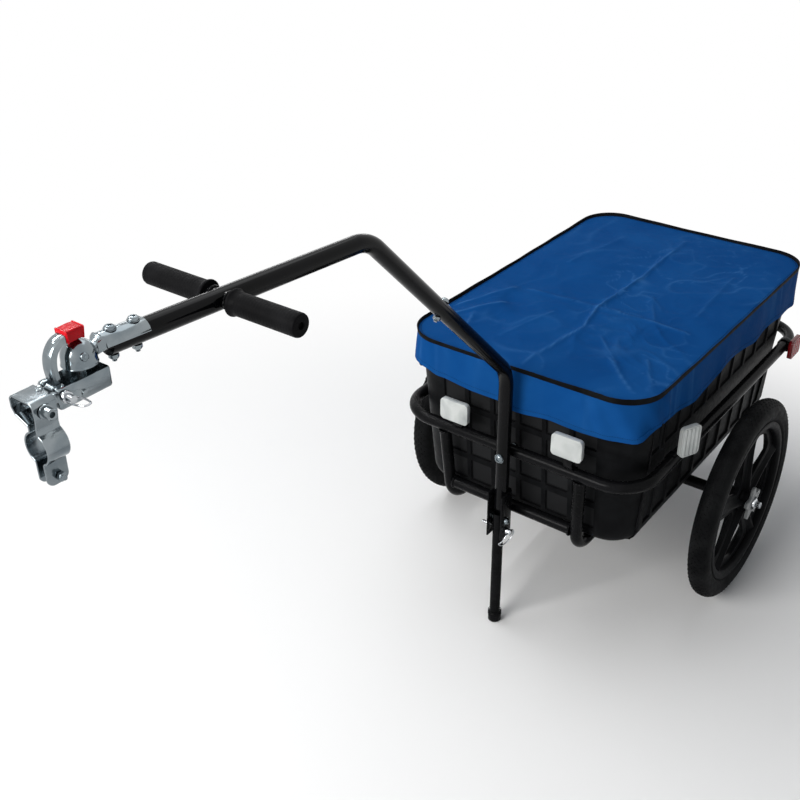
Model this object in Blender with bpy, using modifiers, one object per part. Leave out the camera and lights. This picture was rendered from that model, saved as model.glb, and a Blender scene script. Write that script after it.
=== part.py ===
"""Bike cargo trailer: steel frame, moulded tub, cloth cover, two spoked plastic wheels, stand leg and ball hitch."""

import math

import bmesh
import bpy
from mathutils import Matrix, Vector

# Shared clearances
WELD_GAP = 0.0003
SEAT_GAP = 0.0003
RUN_GAP = 0.0004
BALL_GAP = 0.0007

# Frame tubes
FRAME_TUBE = 0.022
FRAME_WALL = 0.0016
RUNNER_Z = 0.203
RUNNER_BEND = 0.045
RUNNER_TOP_Y = 0.140
RUNNER_Y = 0.134
CROSSBAR_Z = 0.246

# Tub
TUB_FLOOR_Z = RUNNER_Z + FRAME_TUBE / 2 + SEAT_GAP
TUB_RIM_Z = 0.5290
TUB_RIM_DEPTH = 0.011
TUB_WALL = 0.0068
TUB_RECESS = 0.0040
TUB_FLOOR_HALF_WIDTH = 0.2175
TUB_TOP_HALF_WIDTH = 0.2320
TUB_FLOOR_FRONT = 0.303
TUB_TOP_FRONT = 0.330
TUB_FLOOR_REAR = -0.352
TUB_TOP_REAR = -0.398
TUB_CORNER = 0.062
TUB_FLOOR_ROUND = 0.026
RIM_OVERHANG = 0.0058

# Frame ring round the tub, clear of its sloping walls
RING_Z = 0.372
RING_SIDE_GAP = 0.008234
RING_FRONT_GAP = 0.013170
RING_REAR_GAP = 0.024949
RING_CORNER = 0.070
RING_BOLT_RADIUS = 0.0040
RING_SHARE = (RING_Z - TUB_FLOOR_Z) / (TUB_RIM_Z - TUB_FLOOR_Z)
TUB_HALF_AT_RING = TUB_FLOOR_HALF_WIDTH + (TUB_TOP_HALF_WIDTH - TUB_FLOOR_HALF_WIDTH) * RING_SHARE
TUB_FRONT_AT_RING = TUB_FLOOR_FRONT + (TUB_TOP_FRONT - TUB_FLOOR_FRONT) * RING_SHARE
TUB_REAR_AT_RING = TUB_FLOOR_REAR + (TUB_TOP_REAR - TUB_FLOOR_REAR) * RING_SHARE
RING_HALF_WIDTH = TUB_HALF_AT_RING + RING_SIDE_GAP + FRAME_TUBE / 2
RING_FRONT_X = TUB_FRONT_AT_RING + RING_FRONT_GAP + FRAME_TUBE / 2
RING_REAR_X = TUB_REAR_AT_RING - RING_REAR_GAP - FRAME_TUBE / 2
RUNNER_FOOT_X = RING_FRONT_X - 0.0157

# Wheels and axle
WHEEL_RADIUS = 0.200
AXLE_Z = WHEEL_RADIUS
AXLE_TUBE_HALF_LENGTH = RING_HALF_WIDTH + FRAME_TUBE / 2 + 0.0110
WHEEL_Y = AXLE_TUBE_HALF_LENGTH + 0.0430
AXLE_END_Y = WHEEL_Y + 0.0410
AXLE_RADIUS = 0.006
TYRE_HALF_WIDTH = 0.0205
BEAD_RADIUS = 0.1530
LIP_RADIUS = 0.1590
RIM_HALF_WIDTH = 0.0168
RIM_INNER_RADIUS = 0.1440
HUB_HALF_LENGTH = 0.020
HUB_RADIUS = 0.0205
SPOKE_COUNT = 5
WHEEL_STEPS = 36

# Cover
COVER_TOP_Z = 0.5324
COVER_SKIN = 0.0014
COVER_CLEAR = 0.0006
COVER_CORNER = TUB_CORNER + RIM_OVERHANG + COVER_CLEAR + COVER_SKIN
PIPING_RADIUS = 0.0015
COVER_CHAMFER = 0.0022

# Tow bar and handle
TOW_TUBE = 0.025
TOW_WALL = 0.0018
TOW_X = RING_FRONT_X + FRAME_TUBE / 2 + TOW_TUBE / 2 + SEAT_GAP
TOW_FOOT_Z = 0.262
TOW_LOW_BEND = (TOW_X, 0.5405)
TOW_HIGH_BEND = (0.7197, 0.8938)
TOW_SLOPE = 0.0655
TOW_END_X = 1.137
TOW_BEND = 0.070
SLIP_AT = 0.250
SPIGOT_LENGTH = 0.045
HANDLE_X = TOW_END_X - 0.1605
HANDLE_HALF = 0.1184
GRIP_RADIUS = 0.0136

# Stand leg and its bracket
LEG_X = TOW_X + 0.0065
LEG_RADIUS = 0.0100
LEG_TOP_Z = 0.252
LEG_PIVOT_Z = 0.2400
LYNCH_Z = 0.2190
BRACKET_LOW_Z = 0.2040
BRACKET_TOP_Z = 0.2980
BRACKET_WALL = 0.0025

# Hitch, placed from the ball's centre on the tow bar's line
BALL_X = TOW_END_X + 0.0340
BALL_RISE = 0.00014
BALL_Z = TOW_HIGH_BEND[1] + (BALL_X - TOW_HIGH_BEND[0]) * TOW_SLOPE + BALL_RISE
BALL_RADIUS = 0.0127
LINER_WALL = 0.0014
DOME_RADIUS = 0.0180
CHANNEL_HALF_WIDTH = 0.0168
CHANNEL_REAR_X = BALL_X - 0.0230
CHANNEL_FRONT_X = BALL_X + 0.0410
CHANNEL_FLOOR_Z = BALL_Z - 0.0395
HOOK_PIN_X = BALL_X + 0.0355
HOOK_PIN_Z = BALL_Z - 0.0235
CLAMP_FRONT_X = BALL_X + 0.0730
CLAMP_REAR_X = BALL_X + 0.0470
CLAMP_LOOP = (0.0115, BALL_Z - 0.0680)
CLAMP_LOOP_RADIUS = 0.0175
CLAMP_SOCKET_BOLT = (BALL_X + 0.0610, BALL_Z - 0.0275)
CLAMP_TAB_BOLT = (BALL_X + 0.0580, BALL_Z - 0.1035)
SHEET = 0.0020
SADDLE_BOLTS = (TOW_END_X - 0.0375, TOW_END_X - 0.0070)

# The whole trailer is moved so that the middle of its outline stands over the origin
ORIGIN_SHIFT = -(CLAMP_FRONT_X + RING_REAR_X - FRAME_TUBE / 2) / 2

FINISHES = {
    "black_gloss": ((0.012, 0.012, 0.014, 1.0), 0.22, 0.0),
    "black_satin": ((0.016, 0.016, 0.018, 1.0), 0.42, 0.0),
    "black_plastic": ((0.020, 0.021, 0.023, 1.0), 0.50, 0.0),
    "zinc": ((0.62, 0.65, 0.67, 1.0), 0.28, 1.0),
    "chrome": ((0.85, 0.86, 0.87, 1.0), 0.10, 1.0),
    "tyre": ((0.018, 0.019, 0.020, 1.0), 0.80, 0.0),
    "rubber": ((0.014, 0.014, 0.015, 1.0), 0.65, 0.0),
    "blue_cloth": ((0.008, 0.060, 0.260, 1.0), 0.60, 0.0),
    "black_tape": ((0.010, 0.010, 0.011, 1.0), 0.70, 0.0),
    "white_lens": ((0.86, 0.87, 0.86, 1.0), 0.15, 0.0),
    "red_lens": ((0.62, 0.02, 0.02, 1.0), 0.15, 0.0),
    "teal_nylon": ((0.03, 0.30, 0.32, 1.0), 0.40, 0.0),
    "red_sleeve": ((0.70, 0.01, 0.03, 1.0), 0.35, 0.0),
    "grey_plastic": ((0.42, 0.43, 0.43, 1.0), 0.45, 0.0),
}


def clear_scene():
    for obj in list(bpy.data.objects):
        bpy.data.objects.remove(obj)


def material(finish, node):
    colour, roughness, metallic = FINISHES[finish]
    made = bpy.data.materials.new(node)
    made.use_nodes = True
    shader = made.node_tree.nodes["Principled BSDF"]
    shader.inputs["Base Color"].default_value = colour
    shader.inputs["Roughness"].default_value = roughness
    shader.inputs["Metallic"].default_value = metallic
    made.diffuse_color = colour
    return made


def scratch(data):
    obj = bpy.data.objects.new("work", data)
    bpy.context.scene.collection.objects.link(obj)
    return obj


def baked(obj, weld=1e-6, face_out=True):
    """The evaluated mesh of a work object in world space, welded and facing outward; the object is removed."""
    bpy.context.view_layer.update()
    evaluated = obj.evaluated_get(bpy.context.evaluated_depsgraph_get())
    mesh = bpy.data.meshes.new_from_object(evaluated)
    mesh.transform(obj.matrix_world)
    bpy.data.objects.remove(obj)
    shape = bmesh.new()
    shape.from_mesh(mesh)
    bmesh.ops.remove_doubles(shape, verts=shape.verts, dist=weld)
    bmesh.ops.dissolve_degenerate(shape, edges=shape.edges, dist=1e-7)
    if face_out:
        bmesh.ops.recalc_face_normals(shape, faces=shape.faces)
    shape.to_mesh(mesh)
    shape.free()
    return mesh


def combined(base, others, operation):
    """The base mesh after one Boolean with each of the others in turn."""
    for other in others:
        obj = scratch(base)
        helper = scratch(other)
        step = obj.modifiers.new("step", "BOOLEAN")
        step.operation = operation
        step.solver = "EXACT"
        step.object = helper
        base = baked(obj)
        bpy.data.objects.remove(helper)
    shape = bmesh.new()
    shape.from_mesh(base)
    bmesh.ops.dissolve_limit(shape, angle_limit=math.radians(0.2), verts=shape.verts, edges=shape.edges)
    shape.to_mesh(base)
    shape.free()
    return base


def joined(base, *others):
    return combined(base, others, "UNION")


def cut(base, *others):
    return combined(base, others, "DIFFERENCE")


def node(name, mesh, finish, collection, root, pivot=(0.0, 0.0, 0.0)):
    """Places a finished mesh as one sub-part whose origin is its pivot."""
    at = Vector(pivot)
    mesh.transform(Matrix.Translation(-at))
    mesh.materials.clear()
    mesh.materials.append(material(finish, name))
    mesh.polygons.foreach_set("use_smooth", [True] * len(mesh.polygons))
    mesh.set_sharp_from_angle(angle=math.radians(32))
    obj = bpy.data.objects.new(name, mesh)
    obj.location = at
    obj.parent = root
    collection.objects.link(obj)
    return obj


def filleted(points, radius, steps=5):
    """A polyline with each inner corner turned into an arc of the given radius."""
    out = [Vector(points[0])]
    for before, corner, after in zip(points, points[1:], points[2:]):
        corner = Vector(corner)
        to_before = (Vector(before) - corner).normalized()
        to_after = (Vector(after) - corner).normalized()
        half = to_before.angle(to_after) / 2
        back = radius / math.tan(half)
        middle = corner + (to_before + to_after).normalized() * (radius / math.sin(half))
        first = corner + to_before * back - middle
        last = corner + to_after * back - middle
        swing = first.angle(last)
        for i in range(steps + 1):
            t = i / steps
            arm = first * math.sin((1 - t) * swing) + last * math.sin(t * swing)
            out.append(middle + arm / math.sin(swing))
    out.append(Vector(points[-1]))
    return out


def pipe(path, radius, sides=12, cyclic=False, caps=True):
    curve = bpy.data.curves.new("path", "CURVE")
    curve.dimensions = "3D"
    curve.bevel_depth = radius
    curve.bevel_resolution = (sides - 4) // 2
    curve.use_fill_caps = caps and not cyclic
    line = curve.splines.new("POLY")
    line.points.add(len(path) - 1)
    for point, at in zip(line.points, path):
        point.co = (*at, 1.0)
    line.use_cyclic_u = cyclic
    return baked(scratch(curve), 2e-5, face_out=caps)


def hollow_pipe(path, radius, wall, sides=12, cyclic=False):
    obj = scratch(pipe(path, radius, sides, cyclic, caps=False))
    shell = obj.modifiers.new("wall", "SOLIDIFY")
    shell.thickness = wall
    shell.offset = -1
    shell.use_even_offset = True
    shell.use_quality_normals = True
    return baked(obj)


def axis_matrix(axis, at):
    """Turns local Z onto the given axis and moves the local origin to a point."""
    turn = Vector((0, 0, 1)).rotation_difference(Vector(axis)).to_matrix().to_4x4()
    return Matrix.Translation(Vector(at)) @ turn


def turned(profile, axis, at, steps=16, closed=False):
    """A solid of revolution; the profile holds (radius, height along the axis)."""
    mesh = bpy.data.meshes.new("profile")
    pairs = [(i, i + 1) for i in range(len(profile) - 1)]
    if closed:
        pairs.append((len(profile) - 1, 0))
    mesh.from_pydata([(r, 0.0, h) for r, h in profile], pairs, [])
    obj = scratch(mesh)
    spin = obj.modifiers.new("turn", "SCREW")
    spin.steps = steps
    spin.render_steps = steps
    spin.use_merge_vertices = True
    spin.merge_threshold = 0.0001
    spin.use_smooth_shade = True
    obj.matrix_world = axis_matrix(axis, at)
    return baked(obj)


def rod(radius, length, axis, at, steps=16, chamfer=0.0):
    """A round bar centred on a point."""
    half = length / 2
    if chamfer:
        profile = [(0, half), (radius - chamfer, half), (radius, half - chamfer)]
        profile += [(radius, chamfer - half), (radius - chamfer, -half), (0, -half)]
    else:
        profile = [(0, half), (radius, half), (radius, -half), (0, -half)]
    return turned(profile, axis, at, steps)


def box(low, high, bevel=0.0, segments=2):
    mesh = bpy.data.meshes.new("box")
    shape = bmesh.new()
    bmesh.ops.create_cube(shape, size=1.0)
    low = Vector(low)
    high = Vector(high)
    size = high - low
    for vert in shape.verts:
        vert.co = (low + high) / 2 + Vector(a * b for a, b in zip(vert.co, size))
    shape.to_mesh(mesh)
    shape.free()
    obj = scratch(mesh)
    if bevel:
        edge = obj.modifiers.new("edge", "BEVEL")
        edge.width = bevel
        edge.segments = segments
    return baked(obj)


def plate(outlines, thickness, frame):
    """A flat plate: outlines in the frame's XY, holes inside them, thickness along its Z both ways from zero."""
    curve = bpy.data.curves.new("outline", "CURVE")
    curve.dimensions = "2D"
    curve.fill_mode = "BOTH"
    curve.extrude = thickness / 2
    for outline in outlines:
        line = curve.splines.new("POLY")
        line.points.add(len(outline) - 1)
        for point, (x, y) in zip(line.points, outline):
            point.co = (x, y, 0.0, 1.0)
        line.use_cyclic_u = True
    obj = scratch(curve)
    obj.matrix_world = frame
    return baked(obj, 2e-6)


def strap_outline(path, thickness):
    """The closed outline of a strip that follows a 2D path, its thickness laid to both sides."""
    left = []
    right = []
    for i, at in enumerate(path):
        here = Vector(at)
        before = Vector(path[max(i - 1, 0)])
        after = Vector(path[min(i + 1, len(path) - 1)])
        in_dir = (here - before).normalized() if i else (after - here).normalized()
        out_dir = (after - here).normalized() if i < len(path) - 1 else in_dir
        normal = Vector((-(in_dir + out_dir).y, (in_dir + out_dir).x)).normalized()
        stretch = 1 / max(0.5, normal.dot(Vector((-in_dir.y, in_dir.x))))
        left.append(here + normal * thickness / 2 * stretch)
        right.append(here - normal * thickness / 2 * stretch)
    return [tuple(p) for p in left + right[::-1]]


def arc(centre, radius, start, end, steps):
    """Points on a circle from one angle to another, in degrees."""
    out = []
    for i in range(steps + 1):
        angle = math.radians(start + (end - start) * i / steps)
        out.append((centre[0] + radius * math.cos(angle), centre[1] + radius * math.sin(angle)))
    return out


def rounded_rectangle(front, rear, half_width, corner, steps):
    """Points anticlockwise seen from above, starting on the left side's front end."""
    out = []
    for cx, cy, start in (
        (front - corner, half_width - corner, 0),
        (rear + corner, half_width - corner, 90),
        (rear + corner, corner - half_width, 180),
        (front - corner, corner - half_width, 270),
    ):
        out += arc((cx, cy), corner, start, start + 90, steps)
    return out


def xz_frame(y):
    """Local X to world X, local Y to world Z, at the given world Y."""
    return Matrix.Translation((0, y, 0)) @ Matrix(((1, 0, 0, 0), (0, 0, -1, 0), (0, 1, 0, 0), (0, 0, 0, 1)))


def yz_frame(x):
    """Local X to world Y, local Y to world Z, at the given world X."""
    return Matrix.Translation((x, 0, 0)) @ Matrix(((0, 0, 1, 0), (1, 0, 0, 0), (0, 1, 0, 0), (0, 0, 0, 1)))


def tow_z(x):
    """Height of the tow bar's centre line on its nearly level run."""
    return TOW_HIGH_BEND[1] + (x - TOW_HIGH_BEND[0]) * TOW_SLOPE


def tub_edges(z):
    """Half width, front and rear of the tub's outer wall at a height."""
    t = (z - TUB_FLOOR_Z) / (TUB_RIM_Z - TUB_FLOOR_Z)
    half = TUB_FLOOR_HALF_WIDTH + (TUB_TOP_HALF_WIDTH - TUB_FLOOR_HALF_WIDTH) * t
    front = TUB_FLOOR_FRONT + (TUB_TOP_FRONT - TUB_FLOOR_FRONT) * t
    rear = TUB_FLOOR_REAR + (TUB_TOP_REAR - TUB_FLOOR_REAR) * t
    return half, front, rear


def loft(rings, closed_ends=True):
    """A closed body through rings that hold the same number of points."""
    mesh = bpy.data.meshes.new("loft")
    points = [p for ring in rings for p in ring]
    count = len(rings[0])
    faces = []
    for k in range(len(rings) - 1):
        for i in range(count):
            j = (i + 1) % count
            faces.append((k * count + i, k * count + j, (k + 1) * count + j, (k + 1) * count + i))
    if closed_ends:
        faces.append(tuple(range(count)))
        faces.append(tuple(range(count * (len(rings) - 1), count * len(rings))))
    mesh.from_pydata(points, [], faces)
    return baked(scratch(mesh))


def tub_rings(offset, floor, top, heights):
    rings = []
    for z, inset in heights:
        half, front, rear = tub_edges(z)
        gone = offset + inset
        corner = max(TUB_CORNER - gone, 0.012)
        outline = rounded_rectangle(front - gone, rear + gone, half - gone, corner, 6)
        rings.append([(x, y, min(max(z, floor), top)) for x, y in outline])
    return rings


def floor_round(floor, radius):
    """Heights and insets of the rounded edge between floor and wall."""
    out = []
    for i in range(4):
        angle = math.radians(90 * i / 3)
        out.append((floor + radius * (1 - math.sin(angle)), radius * (1 - math.cos(angle))))
    return out[::-1]


def pocket(side, low, high, bottom, top):
    """A cutter that sinks one rectangle into an outer face of the tub, following the face's slope."""
    def at(along, z, depth):
        half, front, rear = tub_edges(z)
        if side == "front":
            return (front - depth, along, z)
        if side == "rear":
            return (rear + depth, along, z)
        return (along, (half - depth) * (1 if side == "left" else -1), z)

    corners = ((low, bottom), (high, bottom), (high, top), (low, top))
    return loft([[at(a, z, depth) for a, z in corners] for depth in (-0.01, TUB_RECESS)])


def tub_pockets():
    cutters = []
    rows = ((0.246, 0.292), (0.304, 0.344), (0.356, 0.404), (0.416, 0.508))
    for low, high in rows:
        for i in range(6):
            middle = (i - 2.5) * 0.0535
            cutters.append(pocket("front", middle - 0.0225, middle + 0.0225, low, high))
            cutters.append(pocket("rear", middle - 0.0225, middle + 0.0225, low, high))
    for side in ("left", "right"):
        for i in range(10):
            middle = -0.290 + i * 0.0585
            for low, high in ((0.246, 0.344), (0.400, 0.508)):
                cutters.append(pocket(side, middle - 0.0245, middle + 0.0245, low, high))
    return cutters


def make_tub(add):
    outside = floor_round(TUB_FLOOR_Z, TUB_FLOOR_ROUND) + [(TUB_RIM_Z - TUB_RIM_DEPTH, 0.0)]
    outside += [(TUB_RIM_Z - TUB_RIM_DEPTH, -RIM_OVERHANG), (TUB_RIM_Z, -RIM_OVERHANG)]
    body = loft(tub_rings(0.0, TUB_FLOOR_Z, TUB_RIM_Z, outside))
    floor = TUB_FLOOR_Z + TUB_WALL
    inside = [(z, inset) for z, inset in floor_round(floor, TUB_FLOOR_ROUND - TUB_WALL)]
    inside += [(TUB_RIM_Z + 0.02, 0.0)]
    hollow = loft(tub_rings(TUB_WALL, floor, 1.0, inside))
    cutters = tub_pockets()
    many = bmesh.new()
    for cutter in cutters:
        many.from_mesh(cutter)
    together = bpy.data.meshes.new("pockets")
    many.to_mesh(together)
    many.free()
    body = cut(body, hollow)
    body = cut(body, together)
    add("tub", body, "black_plastic")


def make_frame(add):
    half = FRAME_TUBE / 2
    outline = rounded_rectangle(RING_FRONT_X, RING_REAR_X, RING_HALF_WIDTH, RING_CORNER, 5)
    loop = [(x, y, RING_Z) for x, y in outline]
    bolt_hole = rod(RING_BOLT_RADIUS + 0.0002, 0.060, (1, 0, 0), (RING_FRONT_X, 0, RING_Z), 10)
    core = joined(pipe(loop, half - FRAME_WALL, 8, cyclic=True), bolt_hole)
    add("frame_ring", cut(pipe(loop, half, cyclic=True), core), "black_satin")
    top = RING_Z - half - 2 * WELD_GAP
    end = half + WELD_GAP
    for side, name in ((1, "left"), (-1, "right")):
        front = filleted(
            [
                (RING_FRONT_X, side * RUNNER_TOP_Y, top),
                (RUNNER_FOOT_X, side * RUNNER_Y, RUNNER_Z),
                (end, side * RUNNER_Y, RUNNER_Z),
            ],
            RUNNER_BEND,
        )
        add(f"{name}_front_runner", hollow_pipe(front, half, FRAME_WALL), "black_satin")
        rear = filleted(
            [
                (-end, side * RUNNER_Y, RUNNER_Z),
                (RING_REAR_X, side * RUNNER_Y, RUNNER_Z),
                (RING_REAR_X, side * RUNNER_Y, top),
            ],
            RUNNER_BEND,
        )
        add(f"{name}_rear_runner", hollow_pipe(rear, half, FRAME_WALL), "black_satin")
    rise = (CROSSBAR_Z - RUNNER_Z) / (top - RUNNER_Z)
    reach = RUNNER_Y + (RUNNER_TOP_Y - RUNNER_Y) * rise - half - WELD_GAP
    x = RUNNER_FOOT_X + (RING_FRONT_X - RUNNER_FOOT_X) * rise
    bar = [(x, -reach, CROSSBAR_Z), (x, reach, CROSSBAR_Z)]
    add("front_crossbar", hollow_pipe(bar, half, FRAME_WALL), "black_satin")
    tube = [(0, -AXLE_TUBE_HALF_LENGTH, AXLE_Z), (0, AXLE_TUBE_HALF_LENGTH, AXLE_Z)]
    add("axle_tube", hollow_pipe(tube, half, FRAME_WALL + 0.002), "black_satin")


def make_axle(add):
    profile = [(0.0, AXLE_END_Y - 0.0005), (AXLE_RADIUS - 0.001, AXLE_END_Y - 0.0005)]
    collar = 0.0098
    hub_side = WHEEL_Y - HUB_HALF_LENGTH
    tube_end = AXLE_TUBE_HALF_LENGTH + SEAT_GAP
    profile += [(AXLE_RADIUS, AXLE_END_Y - 0.002), (AXLE_RADIUS, hub_side - 0.0024), (collar, hub_side - 0.0028)]
    profile += [(collar, tube_end + 0.0002), (AXLE_RADIUS, tube_end)]
    profile += [(r, -h) for r, h in reversed(profile)]
    add("axle_rod", turned(profile, (0, 1, 0), (0, 0, AXLE_Z), 16), "zinc")
    for side, name in ((1, "left"), (-1, "right")):
        inner = WHEEL_Y + HUB_HALF_LENGTH + RUN_GAP
        hexagon = [arc((0, 0), 0.0108, 0, 300, 5)]
        frame = Matrix.Translation((0, side * (inner + 0.0065), AXLE_Z)) @ Matrix.Rotation(math.radians(90), 4, "X")
        nut = plate(hexagon, 0.010, frame)
        flange = rod(0.0125, 0.0018, (0, 1, 0), (0, side * (inner + 0.0009), AXLE_Z), 20)
        bore = rod(AXLE_RADIUS + 0.0002, 0.04, (0, 1, 0), (0, side * (inner + 0.006), AXLE_Z), 16)
        add(f"{name}_axle_nut", cut(joined(nut, flange), bore), "chrome")


def window_outline(middle):
    """A rounded window between two spokes, in the wheel's plane."""
    inner_radius = 0.044
    outer_radius = 0.1290
    corners = []
    for radius, half_angle, reverse in ((outer_radius, 24.5, False), (inner_radius, 13.5, True)):
        angles = [-half_angle, half_angle] if not reverse else [half_angle, -half_angle]
        for a in angles:
            angle = math.radians(middle + a)
            corners.append(Vector((radius * math.cos(angle), radius * math.sin(angle), 0)))
    outward = math.radians(middle)
    bulge = Vector((math.cos(outward), math.sin(outward), 0)) * (outer_radius + 0.006)
    loop = [corners[3], corners[0], bulge, corners[1], corners[2]]
    closed = [loop[-1], *loop, loop[0]]
    rounds = [0.010, 0.016, 0.030, 0.016, 0.010]
    out = []
    for i in range(5):
        out += filleted(closed[i:i + 3], rounds[i], 2)[1:-1]
    return [(p.x, p.y) for p in out]


def make_wheel(add, side, name):
    centre = (0, side * WHEEL_Y, AXLE_Z)
    tyre = [(WHEEL_RADIUS, 0.0), (0.1945, 0.0155), (0.1790, TYRE_HALF_WIDTH), (0.1600, 0.0136), (BEAD_RADIUS, 0.0134)]
    tyre += [(BEAD_RADIUS, 0.0100), (0.1760, 0.0165), (0.1955, 0.0)]
    half = tyre[1:-1]
    ring = [tyre[0], *half, tyre[-1], *[(r, -h) for r, h in reversed(half)]]
    add(f"{name}_tyre", turned(ring, (0, 1, 0), centre, WHEEL_STEPS, closed=True), "tyre", centre)
    w = RIM_HALF_WIDTH
    seat = BEAD_RADIUS - 0.0004
    upper = [(LIP_RADIUS, w), (LIP_RADIUS, w - 0.0028), (seat, w - 0.0030)]
    lower = [(RIM_INNER_RADIUS, 0.0125), (0.1495, w)]
    barrel = [*upper, *[(r, -h) for r, h in reversed(upper)], *[(r, -h) for r, h in reversed(lower)], *lower]
    rim = turned(barrel, (0, 1, 0), centre, WHEEL_STEPS, closed=True)
    frame = Matrix.Translation(centre) @ Matrix.Rotation(math.radians(90), 4, "X")
    disc = arc((0, 0), RIM_INNER_RADIUS + 0.0020, 0, 360 - 360 / WHEEL_STEPS, WHEEL_STEPS - 1)
    step = 360 / SPOKE_COUNT
    windows = [window_outline(90 + step / 2 + step * k) for k in range(SPOKE_COUNT)]
    web = plate([disc, *windows], 0.007, frame)
    ridges = []
    for k in range(SPOKE_COUNT):
        angle = math.radians(90 + step * k)
        out = Vector((math.cos(angle), math.sin(angle)))
        across = Vector((-out.y, out.x))
        rings = []
        rim_end = RIM_INNER_RADIUS + 0.0015
        for radius, wide, high in ((0.012, 0.0085, 0.0150), (0.060, 0.0100, 0.0125), (rim_end, 0.0135, 0.0100)):
            upper = ((wide, 0.0025), (0.0016, high), (-0.0016, high), (-wide, 0.0025))
            ring = []
            for u, v in (*upper, *((u, -v) for u, v in reversed(upper))):
                p = out * radius + across * u
                ring.append(frame @ Vector((p.x, p.y, v)))
            rings.append(ring)
        ridges.append(loft(rings))
    hub = turned(
        [
            (0, HUB_HALF_LENGTH),
            (HUB_RADIUS - 0.002, HUB_HALF_LENGTH),
            (HUB_RADIUS, HUB_HALF_LENGTH - 0.002),
            (HUB_RADIUS, 0.002 - HUB_HALF_LENGTH),
            (HUB_RADIUS - 0.002, -HUB_HALF_LENGTH),
            (0, -HUB_HALF_LENGTH),
        ],
        (0, 1, 0),
        centre,
        20,
    )
    bore = rod(AXLE_RADIUS + RUN_GAP, 0.06, (0, 1, 0), centre, 16)
    body = joined(rim, web, *ridges, hub)
    add(f"{name}_wheel_rim", cut(body, bore), "black_plastic", centre)
    star = []
    for k in range(SPOKE_COUNT):
        angle = step * k + 90
        star += arc((0, 0), 0.0330, angle - 10, angle + 10, 2)
        star += arc((0, 0), 0.0205, angle + step / 2 - 7, angle + step / 2 + 7, 1)
    hole = arc((0, 0), 0.0138, 0, 345, 23)
    shift = Matrix.Translation((0, side * (WHEEL_Y + HUB_HALF_LENGTH + SEAT_GAP + 0.0028), AXLE_Z))
    cap = plate([star, hole], 0.0056, shift @ Matrix.Rotation(math.radians(90), 4, "X"))
    add(f"{name}_hub_cap", cap, "grey_plastic", centre)


def slip_points():
    low = Vector((TOW_LOW_BEND[0], 0, TOW_LOW_BEND[1]))
    high = Vector((TOW_HIGH_BEND[0], 0, TOW_HIGH_BEND[1]))
    along = (high - low).normalized()
    return low, high, along, low + along * SLIP_AT


def make_tow_bar(add):
    radius = TOW_TUBE / 2
    low, high, along, seam = slip_points()
    foot = Vector((TOW_X, 0, TOW_FOOT_Z))
    bolt_at = seam + along * 0.020
    bolt_hole = rod(0.0030 + 0.0002, 0.06, along.cross(Vector((0, 1, 0))), bolt_at, 12)
    ring_hole = rod(RING_BOLT_RADIUS + 0.0002, 0.060, (1, 0, 0), (TOW_X, 0, RING_Z), 10)
    lower = hollow_pipe(filleted([foot, low, seam], TOW_BEND), radius, TOW_WALL)
    spigot = hollow_pipe([seam - along * 0.012, seam + along * SPIGOT_LENGTH], radius - TOW_WALL - 0.0004, 0.0016)
    collar = rod(radius - 0.0006, 0.006, along, seam - along * 0.005, 12)
    throat = rod(radius - TOW_WALL - 0.0024, 0.03, along, seam - along * 0.005, 12)
    lower = cut(joined(lower, spigot, collar), throat, bolt_hole, ring_hole)
    add("lower_tow_tube", lower, "black_gloss")
    end = Vector((TOW_END_X, 0, tow_z(TOW_END_X)))
    upper = hollow_pipe(filleted([seam + along * 0.0006, high, end], TOW_BEND), radius, TOW_WALL)
    saddle_holes = [rod(0.0027, 0.06, (0, 0, 1), (x, 0, tow_z(x)), 10) for x in SADDLE_BOLTS]
    add("upper_tow_tube", cut(upper, bolt_hole, *saddle_holes), "black_gloss")
    across = along.cross(Vector((0, 1, 0))).normalized()
    out = radius + SEAT_GAP
    profile = [(0, out + 0.0077), (0.0032, out + 0.0075), (0.0056, out + 0.0057), (0.0062, out + 0.0032)]
    profile += [(0.0062, out + 0.0001), (0.0030, out), (0.0030, -out), (0.0058, -out - 0.0001)]
    profile += [(0.0058, -out - 0.0047), (0.0030, -out - 0.0052), (0.0030, -out - 0.0077), (0, -out - 0.0077)]
    add("slip_joint_bolt", turned(profile, across, bolt_at, 12), "zinc")


def make_ring_bolt(add):
    """The domed bolt that holds the tow tube to the frame ring, with its nut behind the ring."""
    front = TOW_X + TOW_TUBE / 2 + SEAT_GAP
    rear = RING_FRONT_X - FRAME_TUBE / 2 - SEAT_GAP
    shank = RING_BOLT_RADIUS
    profile = [(0, front + 0.0050), (0.0040, front + 0.0043), (0.0072, front + 0.0022), (0.0080, front)]
    profile += [(shank, front), (shank, rear), (0.0070, rear), (0.0070, rear - 0.0045), (0, rear - 0.0060)]
    add("ring_bolt", turned(profile, (1, 0, 0), (0, 0, RING_Z), 12), "black_gloss")


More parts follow.
